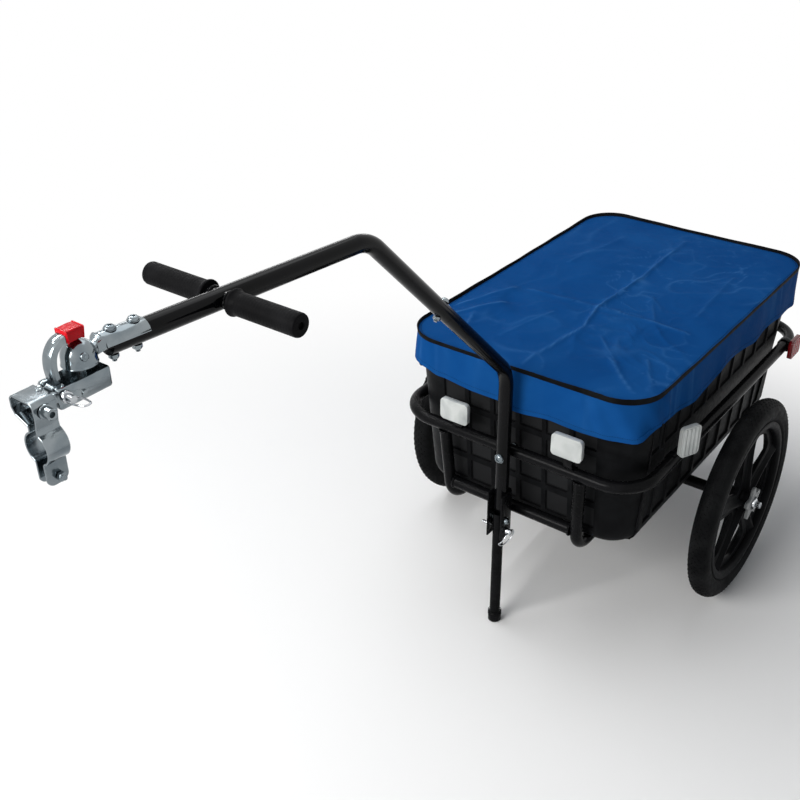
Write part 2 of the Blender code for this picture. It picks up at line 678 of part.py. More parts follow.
def make_handle(add):
    z = tow_z(HANDLE_X)
    tube_radius = 0.0100
    bar = rod(tube_radius, 2 * HANDLE_HALF - 0.008, (0, 1, 0), (HANDLE_X, 0, z), 12)
    saddle = rod(TOW_TUBE / 2 + SEAT_GAP, 0.08, (1, 0, TOW_SLOPE), (HANDLE_X, 0, z), 16)
    for name, piece in split_by_side(cut(bar, saddle)):
        add(f"{name}_handle_stub", piece, "black_gloss")
    inner = 0.034
    hollow = tube_radius + RUN_GAP
    flange = 0.0185
    end_hole = 0.0045
    profile = [(hollow, inner), (flange, inner), (flange + 0.0007, inner + 0.0015), (flange, inner + 0.0045)]
    profile += [(GRIP_RADIUS, inner + 0.0055), (GRIP_RADIUS, HANDLE_HALF - 0.002), (GRIP_RADIUS - 0.002, HANDLE_HALF)]
    profile += [(end_hole, HANDLE_HALF), (end_hole, HANDLE_HALF - 0.003), (hollow, HANDLE_HALF - 0.0035)]
    for side, name in ((1, "left"), (-1, "right")):
        made = turned([(r, side * h) for r, h in profile], (0, 1, 0), (HANDLE_X, 0, z), 20, closed=True)
        add(f"{name}_grip", made, "rubber")


def split_by_side(mesh):
    """The parts of a mesh on the left and right of the trailer's middle plane."""
    out = []
    for name, keep in (("left", 1), ("right", -1)):
        shape = bmesh.new()
        shape.from_mesh(mesh)
        gone = [v for v in shape.verts if v.co.y * keep < 0]
        bmesh.ops.delete(shape, geom=gone, context="VERTS")
        part = bpy.data.meshes.new(name)
        shape.to_mesh(part)
        shape.free()
        out.append((name, part))
    return out


def make_stand(add):
    back = TOW_X - TOW_TUBE / 2 - SEAT_GAP - BRACKET_WALL / 2
    front = LEG_X + 0.0150
    wall_y = TOW_TUBE / 2 + SEAT_GAP + BRACKET_WALL / 2
    half_path = [(front, wall_y), (back + 0.004, wall_y), (back, wall_y - 0.004)]
    path = half_path + [(x, -y) for x, y in reversed(half_path)]
    middle = (BRACKET_LOW_Z + BRACKET_TOP_Z) / 2
    frame = Matrix.Translation((0, 0, middle))
    channel = plate([strap_outline(path, BRACKET_WALL)], BRACKET_TOP_Z - BRACKET_LOW_Z, frame)
    pivot_hole = rod(0.0041, 0.08, (0, 1, 0), (LEG_X, 0, LEG_PIVOT_Z), 12)
    pin_hole = rod(0.0034, 0.08, (0, 1, 0), (LEG_X, 0, LYNCH_Z), 12)
    add("leg_bracket", cut(channel, pivot_hole, pin_hole), "black_satin")
    centre = (LEG_X, 0, LEG_PIVOT_Z)
    inside = LEG_RADIUS - 0.0016
    profile = [(0, 0.010), (inside, 0.012), (inside, LEG_TOP_Z), (LEG_RADIUS, LEG_TOP_Z), (LEG_RADIUS, 0.020)]
    profile += [(0.0125, 0.018), (0.0125, 0.0015), (0.0110, 0.0), (0, 0.0)]
    leg = turned(profile, (0, 0, 1), (LEG_X, 0, 0), 16)
    drop = LEG_PIVOT_Z - LYNCH_Z
    way_out = []
    for degrees in range(0, 56, 11):
        angle = math.radians(degrees)
        way_out.append((LEG_X - drop * math.sin(angle), LEG_PIVOT_Z - drop * math.cos(angle)))
    notch = plate([strap_outline(way_out, 0.0068)], 0.08, xz_frame(0))
    add("stand_leg", cut(leg, pivot_hole, pin_hole, notch), "black_satin", centre)
    side = wall_y + BRACKET_WALL / 2 + SEAT_GAP
    spacer = LEG_RADIUS + RUN_GAP
    cheek = TOW_TUBE / 2
    bolt = [(0, side + 0.0060), (0.0040, side + 0.0058), (0.0066, side + 0.0040), (0.0068, side), (0.0038, side)]
    bolt += [(0.0038, cheek), (0.0062, cheek), (0.0062, spacer), (0.0038, spacer), (0.0038, -spacer), (0.0062, -spacer)]
    bolt += [(0.0062, -cheek), (0.0038, -cheek), (0.0038, -side), (0.0068, -side), (0.0068, -side - 0.0048)]
    bolt += [(0.0038, -side - 0.0052), (0.0036, -side - 0.0075), (0, -side - 0.0075)]
    add("leg_pivot_bolt", turned(bolt, (0, 1, 0), centre, 12), "zinc")
    pin = [(0, 0.0292), (0.0052, 0.0288), (0.0060, 0.0272), (0.0060, side), (0.0030, side)]
    pin += [(0.0030, -0.0330), (0.0018, -0.0345), (0, -0.0345)]
    head = turned(pin, (0, 1, 0), (LEG_X, 0, LYNCH_Z), 12)
    eye = rod(0.0016, 0.03, (1, 0, 0), (LEG_X, 0.0240, LYNCH_Z), 8)
    add("lynch_pin", cut(head, eye), "chrome", (LEG_X, 0.0240, LYNCH_Z))
    loop = [(-0.0085, 0, 0), (0.0085, 0, 0), (0.0140, 0, -0.0040), (0.0180, -0.0030, -0.0120)]
    loop += [(0.0207, -0.0088, -0.0191), (0.0120, -0.0085, -0.0270), (-0.0020, -0.0060, -0.0280)]
    loop += [(-0.0125, -0.0020, -0.0190), (-0.0152, 0, -0.0090)]
    eye_at = Vector((LEG_X, 0.0240, LYNCH_Z))
    path = [eye_at + Vector(p) for p in loop]
    add("lynch_ring", pipe(path, 0.0012, 6, cyclic=True), "chrome", eye_at)


def make_coupler(add):
    """The saddle bolted over the tow bar's end, its neck and the ball socket."""
    slope = Vector((1, 0, TOW_SLOPE)).normalized()
    middle_x = TOW_END_X - 0.0270
    length = 0.062
    inner = TOW_TUBE / 2 + SEAT_GAP
    bend = inner + SHEET / 2
    path = [(bend, -0.016)] + arc((0, 0), bend, 0, 180, 10) + [(-bend, -0.016)]
    up = slope.cross(Vector((0, 1, 0)))
    turn = Matrix(((0, up.x, slope.x, 0), (1, up.y, slope.y, 0), (0, up.z, slope.z, 0), (0, 0, 0, 1)))
    frame = Matrix.Translation((middle_x, 0, tow_z(middle_x))) @ turn
    saddle = plate([strap_outline(path, SHEET)], length, frame)
    ball = (BALL_X, 0, BALL_Z)
    inside = BALL_RADIUS + BALL_GAP + LINER_WALL + RUN_GAP
    outer = sphere_profile(DOME_RADIUS, (0, 22.5, 45, 67.5, 90))
    outer += [(DOME_RADIUS + 0.0004, -0.0085), (inside + 0.0002, -0.0085)]
    hollow = sphere_profile(inside, (90, 67.5, 45, 22.5, 0))
    dome = turned(outer + hollow, (0, 0, 1), ball, 20)
    neck_low = TOW_END_X + 0.0012
    rings = []
    for x, half, high, low in (
        (neck_low, 0.0125, 0.0125, -0.0060),
        (BALL_X - 0.0230, 0.0075, 0.0080, -0.0050),
        (BALL_X - 0.0166, 0.0085, 0.0075, -0.0060),
    ):
        right = [(half, low), (half, high * 0.55), (half * 0.55, high)]
        section = right + [(-y, z) for y, z in reversed(right)]
        rings.append([(x, y, tow_z(x) + z) for y, z in section])
    neck = loft(rings)
    rivet = rod(0.0040, 0.0030, (0, 0.94, 0.34), (BALL_X, 0.0175, BALL_Z + 0.0050), 12)
    bolts = [rod(0.0027, 0.06, (0, 0, 1), (x, 0, tow_z(x)), 10) for x in SADDLE_BOLTS]
    strap = joined(saddle, neck, dome, rivet)
    add("coupler_head", cut(strap, *bolts), "zinc")
    top = TOW_TUBE / 2 + SHEET + 3 * SEAT_GAP
    for x, name in zip(SADDLE_BOLTS, ("rear", "front")):
        profile = [(0, top + 0.0040), (0.0035, top + 0.0036), (0.0062, top + 0.0014), (0.0064, top), (0.0025, top)]
        low = -TOW_TUBE / 2 - 3 * SEAT_GAP
        profile += [(0.0025, low), (0.0055, low), (0.0055, low - 0.0050)]
        profile += [(0.0025, low - 0.0054), (0.0025, low - 0.0085), (0, low - 0.0085)]
        add(f"{name}_saddle_bolt", turned(profile, (0, 0, 1), (x, 0, tow_z(x)), 12), "zinc")


def sphere_profile(radius, angles):
    """Profile points on a sphere, at angles in degrees from its top."""
    out = []
    for degrees in angles:
        angle = math.radians(degrees)
        out.append((0 if degrees in (0, 180) else radius * math.sin(angle), radius * math.cos(angle)))
    return out


def from_ball(points):
    """Places points of the hitch's side view, given from the ball's centre."""
    return [(BALL_X + x, BALL_Z + z) for x, z in points]


def make_hitch(add):
    ball = (BALL_X, 0, BALL_Z)
    inside = BALL_RADIUS + BALL_GAP
    outside = inside + LINER_WALL
    angles = (0, 22.5, 45, 67.5, 90, 112.5)
    profile = sphere_profile(outside, angles) + sphere_profile(inside, angles[::-1])
    add("socket_liner", turned(profile, (0, 0, 1), ball, 20), "teal_nylon", ball)
    sphere = sphere_profile(BALL_RADIUS, (0, 22.5, 45, 67.5, 90, 112.5, 135, 157.5, 180))
    add("hitch_ball", turned(sphere, (0, 0, 1), ball, 20), "chrome", ball)
    w = CHANNEL_HALF_WIDTH
    rear = CHANNEL_REAR_X
    front = CHANNEL_FRONT_X
    floor = CHANNEL_FLOOR_Z
    outer = box((rear, -w, floor), (front, w, floor + 0.0235), 0.0030)
    well = box((rear + SHEET, -w + SHEET, floor + SHEET), (front - 0.0110, w - SHEET, floor + 0.046))
    slot = box((front - 0.0150, -0.0078, floor + 0.0080), (front + 0.0200, 0.0078, floor + 0.046))
    channel = cut(outer, well, slot)
    stem_top = BALL_Z - BALL_RADIUS - RUN_GAP
    stem_foot = floor + 0.0005
    stem = rod(0.0050, stem_top - stem_foot, (0, 0, 1), (BALL_X, 0, (stem_top + stem_foot) / 2), 14)
    tongue_end = CLAMP_REAR_X + 0.0055
    tongues = []
    for low, high in ((-0.0140, -0.0085), (0.0085, 0.0140)):
        tongues.append(box((front - 0.0060, low, floor + 0.0095), (tongue_end, high, floor + 0.0200)))
    rivet = rod(0.0035, 0.0020, (0, 1, 0), (BALL_X + 0.0120, w + 0.0008, floor + 0.0080), 12)
    pin_hole = rod(0.0030 + 0.0003, 0.06, (0, 1, 0), (HOOK_PIN_X, 0, HOOK_PIN_Z), 12)
    channel = cut(joined(channel, stem, *tongues, rivet), pin_hole)
    add("hitch_channel", channel, "zinc", ball)
    make_hook(add)
    pin = [(0, 0.0330), (0.0040, 0.0328), (0.0046, 0.0300), (0.0046, 0.0240), (0.0065, 0.0235), (0.0065, 0.0190)]
    pin += [(0.0030, 0.0185), (0.0030, -0.0200), (0.0020, -0.0215), (0, -0.0215)]
    shaft = turned(pin, (0, 1, 0), (HOOK_PIN_X, 0, HOOK_PIN_Z), 12)
    eye = rod(0.0012, 0.02, (1, 0, 0), (HOOK_PIN_X, 0.0300, HOOK_PIN_Z), 8)
    hinge = (HOOK_PIN_X, 0.0300, HOOK_PIN_Z)
    add("quick_pin", cut(shaft, eye), "chrome", hinge)
    half_ring = [(0.0050, 0.0300), (0.0064, 0.0330), (0.0066, 0.0400), (0.0052, 0.0500), (0.0026, 0.0545)]
    ring = half_ring + [(-x, y) for x, y in reversed(half_ring)]
    ring = [Vector((HOOK_PIN_X + x, y, HOOK_PIN_Z - 0.25 * (y - 0.030))) for x, y in ring]
    add("quick_pin_ring", pipe(ring, 0.0008, 6, cyclic=True), "chrome", hinge)
    add_clamp(add)


def make_hook(add):
    """The strip hook that closes over the ball socket, with a plastic sleeve on its tip."""
    line = from_ball(
        [
            (0.0340, -0.0270),
            (0.0330, -0.0155),
            (0.0337, 0.0005),
            (0.0312, 0.0135),
            (0.0235, 0.0227),
            (0.0130, 0.0260),
            (0.0035, 0.0255),
        ]
    )
    body = plate([strap_outline(line, 0.0075)], 0.0140, xz_frame(0))
    hole = rod(0.0033, 0.06, (0, 1, 0), (HOOK_PIN_X, 0, HOOK_PIN_Z), 12)
    eye = rod(0.0062, 0.0140, (0, 1, 0), (HOOK_PIN_X, 0, HOOK_PIN_Z), 16)
    pivot = (HOOK_PIN_X, 0, HOOK_PIN_Z)
    add("safety_hook", cut(joined(body, eye), hole), "zinc", pivot)
    sleeve_line = from_ball([(0.0150, 0.0267), (0.0010, 0.0271), (-0.0055, 0.0265)])
    sleeve = plate([strap_outline(sleeve_line, 0.0125)], 0.0180, xz_frame(0))
    inner_line = line[3:-1] + from_ball([(0.0028, 0.0255)])
    inner = plate([strap_outline(inner_line, 0.0083)], 0.0146, xz_frame(0))
    add("hook_sleeve", cut(sleeve, inner), "red_sleeve", pivot)


def add_clamp(add):
    """The bent strip that makes the front channel and the round clamp below it."""
    y, z = CLAMP_LOOP
    radius = CLAMP_LOOP_RADIUS
    tab = 0.0060
    tab_end = BALL_Z - 0.1115
    mouth = [(y - tab, z + 0.0235), (-0.0120, z + 0.0305), (-0.0165, z + 0.0375), (-0.0165, z + 0.0475)]
    mouth += [(-0.0130, z + 0.0511), (0.0150, z + 0.0511), (0.0190, z + 0.0475), (0.0195, z + 0.0345)]
    mouth += [(y + tab, z + 0.0235)]
    path = [(y - tab, tab_end)] + arc((y, z), radius, 250, 112, 7) + mouth
    path += arc((y, z), radius, 68, -70, 7) + [(y + tab, tab_end)]
    middle = (CLAMP_REAR_X + CLAMP_FRONT_X) / 2
    band = plate([strap_outline(path, SHEET)], CLAMP_FRONT_X - CLAMP_REAR_X, yz_frame(middle))
    socket_x, socket_z = CLAMP_SOCKET_BOLT
    tab_x, tab_z = CLAMP_TAB_BOLT
    upper_hole = rod(0.0034, 0.08, (0, 1, 0), (socket_x, 0, socket_z), 12)
    lower_hole = rod(0.0029, 0.08, (0, 1, 0), (tab_x, 0, tab_z), 12)
    rivet = rod(0.0040, 0.0030, (0, 0, 1), (CLAMP_REAR_X + 0.0020, 0, z + 0.0527), 12)
    ball = (BALL_X, 0, BALL_Z)
    add("seat_post_clamp", joined(cut(band, upper_hole, lower_hole), rivet), "zinc", ball)
    wide_head = 0.0045
    tab_head = 0.0085
    add_clamp_bolt(add, "clamp_socket_bolt", (socket_x, 0, socket_z), (-0.0183, 0.0213), 0.0030, 0.0058, wide_head)
    tab_faces = (y - tab - SHEET / 2 - 0.0007, y + tab + SHEET / 2 + 0.0007)
    add_clamp_bolt(add, "clamp_tab_bolt", (tab_x, 0, tab_z), tab_faces, 0.0025, 0.0052, tab_head)


def add_clamp_bolt(add, name, at, faces, shank, head, head_height):
    """A bolt along Y whose head and nut stand on two outer faces."""
    low, high = faces
    top = high + head_height
    profile = [(0, top), (head - 0.0006, top), (head, top - 0.0007), (head, high), (shank, high)]
    profile += [(shank, low), (head, low), (head, low - 0.0042), (shank, low - 0.0045)]
    profile += [(shank, low - 0.0072), (0, low - 0.0072)]
    add(name, turned(profile, (0, 1, 0), at, 12), "zinc", (BALL_X, 0, BALL_Z))


def make_reflectors(add):
    """Lenses on strap brackets that wrap the frame ring."""
    tube = FRAME_TUBE / 2
    wrap = tube + SEAT_GAP + 0.0011
    places = (
        ("left_front", (RING_FRONT_X, 0.1210, RING_Z), 0, RING_Z + 0.0615, 0.058, 0.042, "white_lens"),
        ("right_front", (RING_FRONT_X, -0.1065, RING_Z), 0, RING_Z + 0.0510, 0.058, 0.042, "white_lens"),
        ("left_side", (0.2000, RING_HALF_WIDTH, RING_Z), 65, RING_Z + 0.0480, 0.040, 0.058, "white_lens"),
        ("right_side", (0.2000, -RING_HALF_WIDTH, RING_Z), -65, RING_Z + 0.0480, 0.040, 0.058, "white_lens"),
        ("left_rear", (-0.3300, RING_HALF_WIDTH, RING_Z), 90, RING_Z, 0.050, 0.040, "red_lens"),
        ("right_rear", (-0.3300, -RING_HALF_WIDTH, RING_Z), -90, RING_Z, 0.050, 0.040, "red_lens"),
    )
    for name, at, turn, lens_z, wide, tall, finish in places:
        out_turn = 90 if turn > 0 else -90 if turn < 0 else 0
        base = Matrix.Translation(at) @ Matrix.Rotation(math.radians(out_turn), 4, "Z")
        section = base @ Matrix(((1, 0, 0, 0), (0, 0, -1, 0), (0, 1, 0, 0), (0, 0, 0, 1)))
        rise = lens_z - RING_Z
        if rise > 0.01:
            path = arc((0, 0), wrap, 250, 60, 10)
            path += [(0.0105, 0.0170), (0.0130, 0.0220), (0.0130, rise + 0.008)]
            back = 0.0130 + 0.0011
        else:
            path = arc((0, 0), wrap, 60, 300, 12)
            path = [(0.0135, 0.0090), *path[1:-1], (0.0135, -0.0090)]
            back = 0.0152
        strap = plate([strap_outline(path, 0.0022)], 0.0160, section)
        if rise <= 0.01:
            pad = box((0.0128, -0.0080, -0.0120), (0.0152, 0.0080, 0.0120))
            strap = joined(strap, transformed(pad, base))
        add(f"{name}_reflector_bracket", strap, "black_satin")
        lens_local = box((-0.0045, -wide / 2, -tall / 2), (0.0045, wide / 2, tall / 2), 0.0030)
        extra = 0.0 if abs(turn) in (0, 90) else (turn - out_turn)
        reach = back + SEAT_GAP + 0.0045 + abs(math.sin(math.radians(extra))) * 0.011
        lean = base @ Matrix.Translation((reach, 0, rise)) @ Matrix.Rotation(math.radians(extra), 4, "Z")
        add(f"{name}_reflector", transformed(lens_local, lean), finish)


def transformed(mesh, matrix):
    mesh.transform(matrix)
    return mesh


def hem_height(x, y):
    """Height of the cover's lower edge at a place on its outline."""
    front = ((-0.240, 0.470), (-0.177, 0.466), (-0.128, 0.452), (-0.064, 0.453))
    front += ((0.018, 0.458), (0.097, 0.461), (0.170, 0.475), (0.240, 0.486))
    side = ((-0.407, 0.430), (-0.360, 0.438), (-0.309, 0.476), (-0.252, 0.467))
    side += ((-0.044, 0.483), (0.135, 0.492), (0.292, 0.499), (0.340, 0.486))
    rear = ((-0.240, 0.434), (-0.150, 0.462), (0.0, 0.458), (0.150, 0.462), (0.240, 0.434))

    def along(table, value):
        for (a, za), (b, zb) in zip(table, table[1:]):
            if value <= b:
                t = min(max((value - a) / (b - a), 0), 1)
                t = t * t * (3 - 2 * t)
                return za + (zb - za) * t
        return table[-1][1]

    front_share = min(max((x - 0.285) / 0.045, 0), 1)
    rear_share = min(max((-0.355 - x) / 0.045, 0), 1)
    height = along(side, x)
    height += (along(front, y) - height) * front_share
    height += (along(rear, y) - height) * rear_share
    return height


def cover_flare(x, y):
    """How far the hem stands out from the cover's outline, as soft waves round the skirt."""
    return 0.0030 + 0.0018 * math.sin(47 * x + 31 * y) + 0.0010 * math.sin(23 * x - 58 * y + 1)


def make_cover(add):
    half = TUB_TOP_HALF_WIDTH + RIM_OVERHANG + COVER_CLEAR + COVER_SKIN
    front = TUB_TOP_FRONT + RIM_OVERHANG + COVER_CLEAR + COVER_SKIN
    rear = TUB_TOP_REAR - RIM_OVERHANG - COVER_CLEAR - COVER_SKIN
    edge = rounded_rectangle(front, rear, half, COVER_CORNER, 6)
    outline = []
    for i, (x, y) in enumerate(edge):
        outline.append((x, y))
        nx, ny = edge[(i + 1) % len(edge)]
        gap = math.hypot(nx - x, ny - y)
        for k in range(1, max(int(gap / 0.06) + 1, 1)):
            t = k / (int(gap / 0.06) + 1)
            outline.append((x + (nx - x) * t, y + (ny - y) * t))
    middle_x = (front + rear) / 2

    def top_z(x, y):
        share = max(abs(x - middle_x) / (front - middle_x), abs(y) / half)
        ridge = 0.0016 * math.exp(-((y / 0.010) ** 2)) * (1 if -0.35 < x < 0.32 else 0)
        cross = 0.0010 * math.exp(-(((x - 0.05) / 0.010) ** 2)) * (1 if -0.10 < y < 0.19 else 0)
        pillow = 0.0010 * math.cos(x * 17 + 0.6) * math.cos(y * 19)
        return COVER_TOP_Z + (ridge + cross + pillow + 0.0010) * max(0.0, 1 - share ** 4)

    def outward(x, y):
        side = x - min(max(x, rear + COVER_CORNER), front - COVER_CORNER)
        return Vector((side, y - min(max(y, COVER_CORNER - half), half - COVER_CORNER))).normalized()

    rings = []
    for share in (0.30, 0.62, 0.86, 1.0):
        ring = []
        for x, y in outline:
            inset = 1 - COVER_CHAMFER / half if share == 1.0 else share
            px = middle_x + (x - middle_x) * inset
            ring.append((px, y * inset, top_z(px, y * inset) if share < 1 else COVER_TOP_Z))
        rings.append(ring)
    for row, drop in enumerate((COVER_CHAMFER, 0.33, 0.68, 1.0)):
        ring = []
        for x, y in outline:
            hem = hem_height(x, y)
            normal = outward(x, y)
            z = COVER_TOP_Z - COVER_CHAMFER if row == 0 else COVER_TOP_Z - (COVER_TOP_Z - hem) * drop
            wave = 0.0 if row == 0 else drop * cover_flare(x, y)
            ring.append((x + normal.x * wave, y + normal.y * wave, z))
        rings.append(ring)
    mesh = bpy.data.meshes.new("cover")
    count = len(outline)
    points = [p for ring in rings for p in ring]
    faces = []
    for k in range(len(rings) - 1):
        for i in range(count):
            j = (i + 1) % count
            faces.append((k * count + i, (k + 1) * count + i, (k + 1) * count + j, k * count + j))
    centre = len(points)
    points.append((middle_x, 0.0, top_z(middle_x, 0.0)))
    for i in range(count):
        faces.append((centre, i, (i + 1) % count))
    mesh.from_pydata(points, [], faces)
    obj = scratch(mesh)
    skin = obj.modifiers.new("skin", "SOLIDIFY")
    skin.thickness = COVER_SKIN
    skin.offset = -1
    skin.use_even_offset = False
    made = baked(obj)
    pivot = (0, 0, COVER_TOP_Z)
    add("cover", made, "blue_cloth", pivot)
    out = PIPING_RADIUS + SEAT_GAP
    path = []
    for x, y in outline:
        normal = outward(x, y)
        shift = -COVER_CHAMFER / 2 + out * 0.7071
        path.append((x + normal.x * shift, y + normal.y * shift, COVER_TOP_Z + shift + 0.0002))
    add("cover_piping", pipe(path, PIPING_RADIUS, 4, cyclic=True), "black_tape", pivot)
    for side, name in ((1, "left"), (-1, "right")):
        x = 0.2700
        y = side * (half + cover_flare(x, side * half) - COVER_SKIN / 2)
        top = hem_height(x, y) - SEAT_GAP
        line = [(0, 0), (0, 0.022), (0.0005, 0.038), (0.0035, 0.045), (0.0080, 0.042)]
        path = [Vector((x, y + side * out_by, top - down)) for out_by, down in line]
        add(f"{name}_cover_hook", pipe(path, 0.0022, 8), "black_tape", pivot)


def main():
    clear_scene()
    collection = bpy.data.collections.new("bike_cargo_trailer")
    bpy.context.scene.collection.children.link(collection)
    root = bpy.data.objects.new("trailer_origin", None)
    root.location = (ORIGIN_SHIFT, 0, 0)
    collection.objects.link(root)

    def add(name, mesh, finish, pivot=(0.0, 0.0, 0.0)):
        node(name, mesh, finish, collection, root, pivot)

    make_frame(add)
    make_axle(add)
    make_tub(add)
    make_wheel(add, 1, "left")
    make_wheel(add, -1, "right")
    make_tow_bar(add)
    make_ring_bolt(add)
    make_handle(add)
    make_stand(add)
    make_coupler(add)
    make_hitch(add)
    make_reflectors(add)
    make_cover(add)


main()
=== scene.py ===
"""Looks of a bike cargo trailer: tube frame, moulded tub, cloth cover, spoked wheels and ball hitch."""

import logging
import math
from dataclasses import dataclass
from enum import Enum
from typing import Callable, Iterable, Sequence

import bmesh
import bpy
from mathutils import Matrix, Vector, noise


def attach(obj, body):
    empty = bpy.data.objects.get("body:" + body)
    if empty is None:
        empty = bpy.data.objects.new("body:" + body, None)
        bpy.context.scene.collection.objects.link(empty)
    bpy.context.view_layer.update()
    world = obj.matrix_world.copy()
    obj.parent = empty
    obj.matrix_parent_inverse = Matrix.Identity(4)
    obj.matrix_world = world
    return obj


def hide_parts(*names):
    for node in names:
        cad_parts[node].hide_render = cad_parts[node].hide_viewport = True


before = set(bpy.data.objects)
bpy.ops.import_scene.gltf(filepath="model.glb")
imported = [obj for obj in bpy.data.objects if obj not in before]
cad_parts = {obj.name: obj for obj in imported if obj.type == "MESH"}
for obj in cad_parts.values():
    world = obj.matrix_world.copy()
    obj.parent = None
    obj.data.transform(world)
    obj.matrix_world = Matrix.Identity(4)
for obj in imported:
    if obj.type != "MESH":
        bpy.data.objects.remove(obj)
LOG = logging.getLogger("trailer")
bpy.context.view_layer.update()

Mesh = bpy.types.Mesh
Object = bpy.types.Object
Socket = bpy.types.NodeSocket
Point = Sequence[float]
Pair = tuple[float, float]
Triple = tuple[float, float, float]
Outline = list[Pair]
Places = list[tuple[Vector, Vector]]

# Sizes are in metres and count from the axle and the floor, and this shift brings them into the frame
SHIFT = Vector((-0.411, 0.0, 0.0))
ORIGIN = (0.0, 0.0, 0.0)
ALONG = (1, 0, 0)
ACROSS = (0, 1, 0)
UP = (0, 0, 1)
LEFT = 1
RIGHT = -1
SIDES = ((LEFT, "left"), (RIGHT, "right"))

# Sizes that more than one sub-assembly needs
AXLE_Z = 0.2
FRAME_TUBE = 0.011
RING_Z = 0.372
RING_FRONT = 0.3407
TOW_RADIUS = 0.0125
TOW_BEND = (0.7197, 0.8938)
TOW_END = 1.137
TOW_SLOPE = 0.0655


def tow_z(x: float) -> float:
    """Returns the height of the tow bar's centre line on its nearly level run."""
    return TOW_BEND[1] + (x - TOW_BEND[0]) * TOW_SLOPE


class Surface(Enum):
    """How a finish breaks up: what its grain and its worn mottle look like; on metal the mottle is partly
    painted reflection.
    """

    POWDER = "powder coat"
    MOULDED = "moulded plastic"
    METAL = "plated metal"
    RUBBER = "rubber"
    CLOTH = "coated cloth"
    WEBBING = "woven tape"
    LENS = "reflector lens"


@dataclass(frozen=True)
class Finish:
    """One finish of the trailer.

    Colours are linear, grain is cycles per metre, bump is the relief's height in metres.
    """

    slot: str
    surface: Surface
    colour: Triple
    tint: Triple
    roughness: float
    spread: float
    grain: float
    bump: float
    specular: float = 0.5
    coat: float = 0.0
    # Painted light: a point attribute and a paler colour that stands in for light the surface catches
    # there, not a colour of the material
    painted_light_marks: tuple[str, Triple] | None = None

    def material(self) -> bpy.types.Material:
        """Returns the finish's material, built once."""
        made = bpy.data.materials.get(f"{self.slot}_finish")
        return made or MaterialBuilder(self).build()


FINISHES = {
    f.slot: f
    for f in (
        Finish(
            "black_gloss", Surface.POWDER, (0.0022, 0.0024, 0.0027), (0.004, 0.004, 0.005),
            roughness=0.12, spread=0.02, grain=900, bump=0.000002, specular=0.1,
        ),
        Finish(
            "black_satin", Surface.POWDER, (0.0026, 0.0028, 0.0031), (0.006, 0.006, 0.007),
            roughness=0.25, spread=0.1, grain=1400, bump=0.00004, specular=0.055,
        ),
        Finish(
            "black_plastic", Surface.MOULDED, (0.0036, 0.0038, 0.0043), (0.008, 0.0085, 0.0095),
            roughness=0.42, spread=0.14, grain=1500, bump=0.00007, specular=0.03,
            # Painted light: the sunk panels are painted a paler grey for the light they show; the plastic
            # is the same
            painted_light_marks=("pocket", (0.015, 0.0155, 0.0165)),
        ),
        # Painted reflection in part: the darker tint mottles the plated metal as if it mirrored dark
        # surroundings
        Finish(
            "zinc", Surface.METAL, (0.25, 0.28, 0.295), (0.15, 0.18, 0.2),
            roughness=0.17, spread=0.14, grain=420, bump=0.00003,
        ),
        # Painted reflection in part: the darker tint mottles the chrome as if it mirrored dark surroundings
        Finish(
            "chrome", Surface.METAL, (0.66, 0.68, 0.7), (0.3, 0.32, 0.34),
            roughness=0.07, spread=0.08, grain=300, bump=0.00001,
        ),
        Finish(
            "tyre", Surface.RUBBER, (0.0036, 0.0038, 0.0042), (0.01, 0.0105, 0.011),
            roughness=0.58, spread=0.18, grain=1100, bump=0.0001, specular=0.03,
        ),
        Finish(
            "rubber", Surface.RUBBER, (0.0036, 0.0036, 0.004), (0.008, 0.008, 0.009),
            roughness=0.52, spread=0.15, grain=1300, bump=0.00006, specular=0.03,
        ),
        Finish(
            "blue_cloth", Surface.CLOTH, (0.0045, 0.055, 0.205), (0.007, 0.068, 0.235),
            roughness=0.46, spread=0.12, grain=1500, bump=0.00004, specular=0.003,
            # Painted highlight: creases and folds are painted a paler blue for the sheen on them
            painted_light_marks=("crease", (0.05, 0.17, 0.4)),
        ),
        Finish(
            "black_tape", Surface.WEBBING, (0.003, 0.0032, 0.0038), (0.008, 0.009, 0.01),
            roughness=0.62, spread=0.12, grain=900, bump=0.00012, specular=0.03,
        ),
        Finish(
            "white_lens", Surface.LENS, (0.5, 0.52, 0.51), (0.3, 0.32, 0.32),
            roughness=0.14, spread=0.1, grain=330, bump=0.0003, specular=0.3, coat=0.3,
        ),
        Finish(
            "red_lens", Surface.LENS, (0.36, 0.008, 0.012), (0.16, 0.003, 0.005),
            roughness=0.14, spread=0.1, grain=330, bump=0.0003, specular=0.3, coat=0.3,
        ),
        Finish(
            "teal_nylon", Surface.MOULDED, (0.02, 0.22, 0.26), (0.05, 0.32, 0.36),
            roughness=0.34, spread=0.1, grain=1200, bump=0.00004,
        ),
        Finish(
            "red_sleeve", Surface.MOULDED, (0.6, 0.004, 0.012), (0.5, 0.003, 0.009),
            roughness=0.26, spread=0.08, grain=700, bump=0.00002, specular=0.12,
        ),
        Finish(
            "grey_plastic", Surface.MOULDED, (0.3, 0.31, 0.31), (0.22, 0.23, 0.23),
            roughness=0.36, spread=0.12, grain=1200, bump=0.00005,
        ),
    )
}


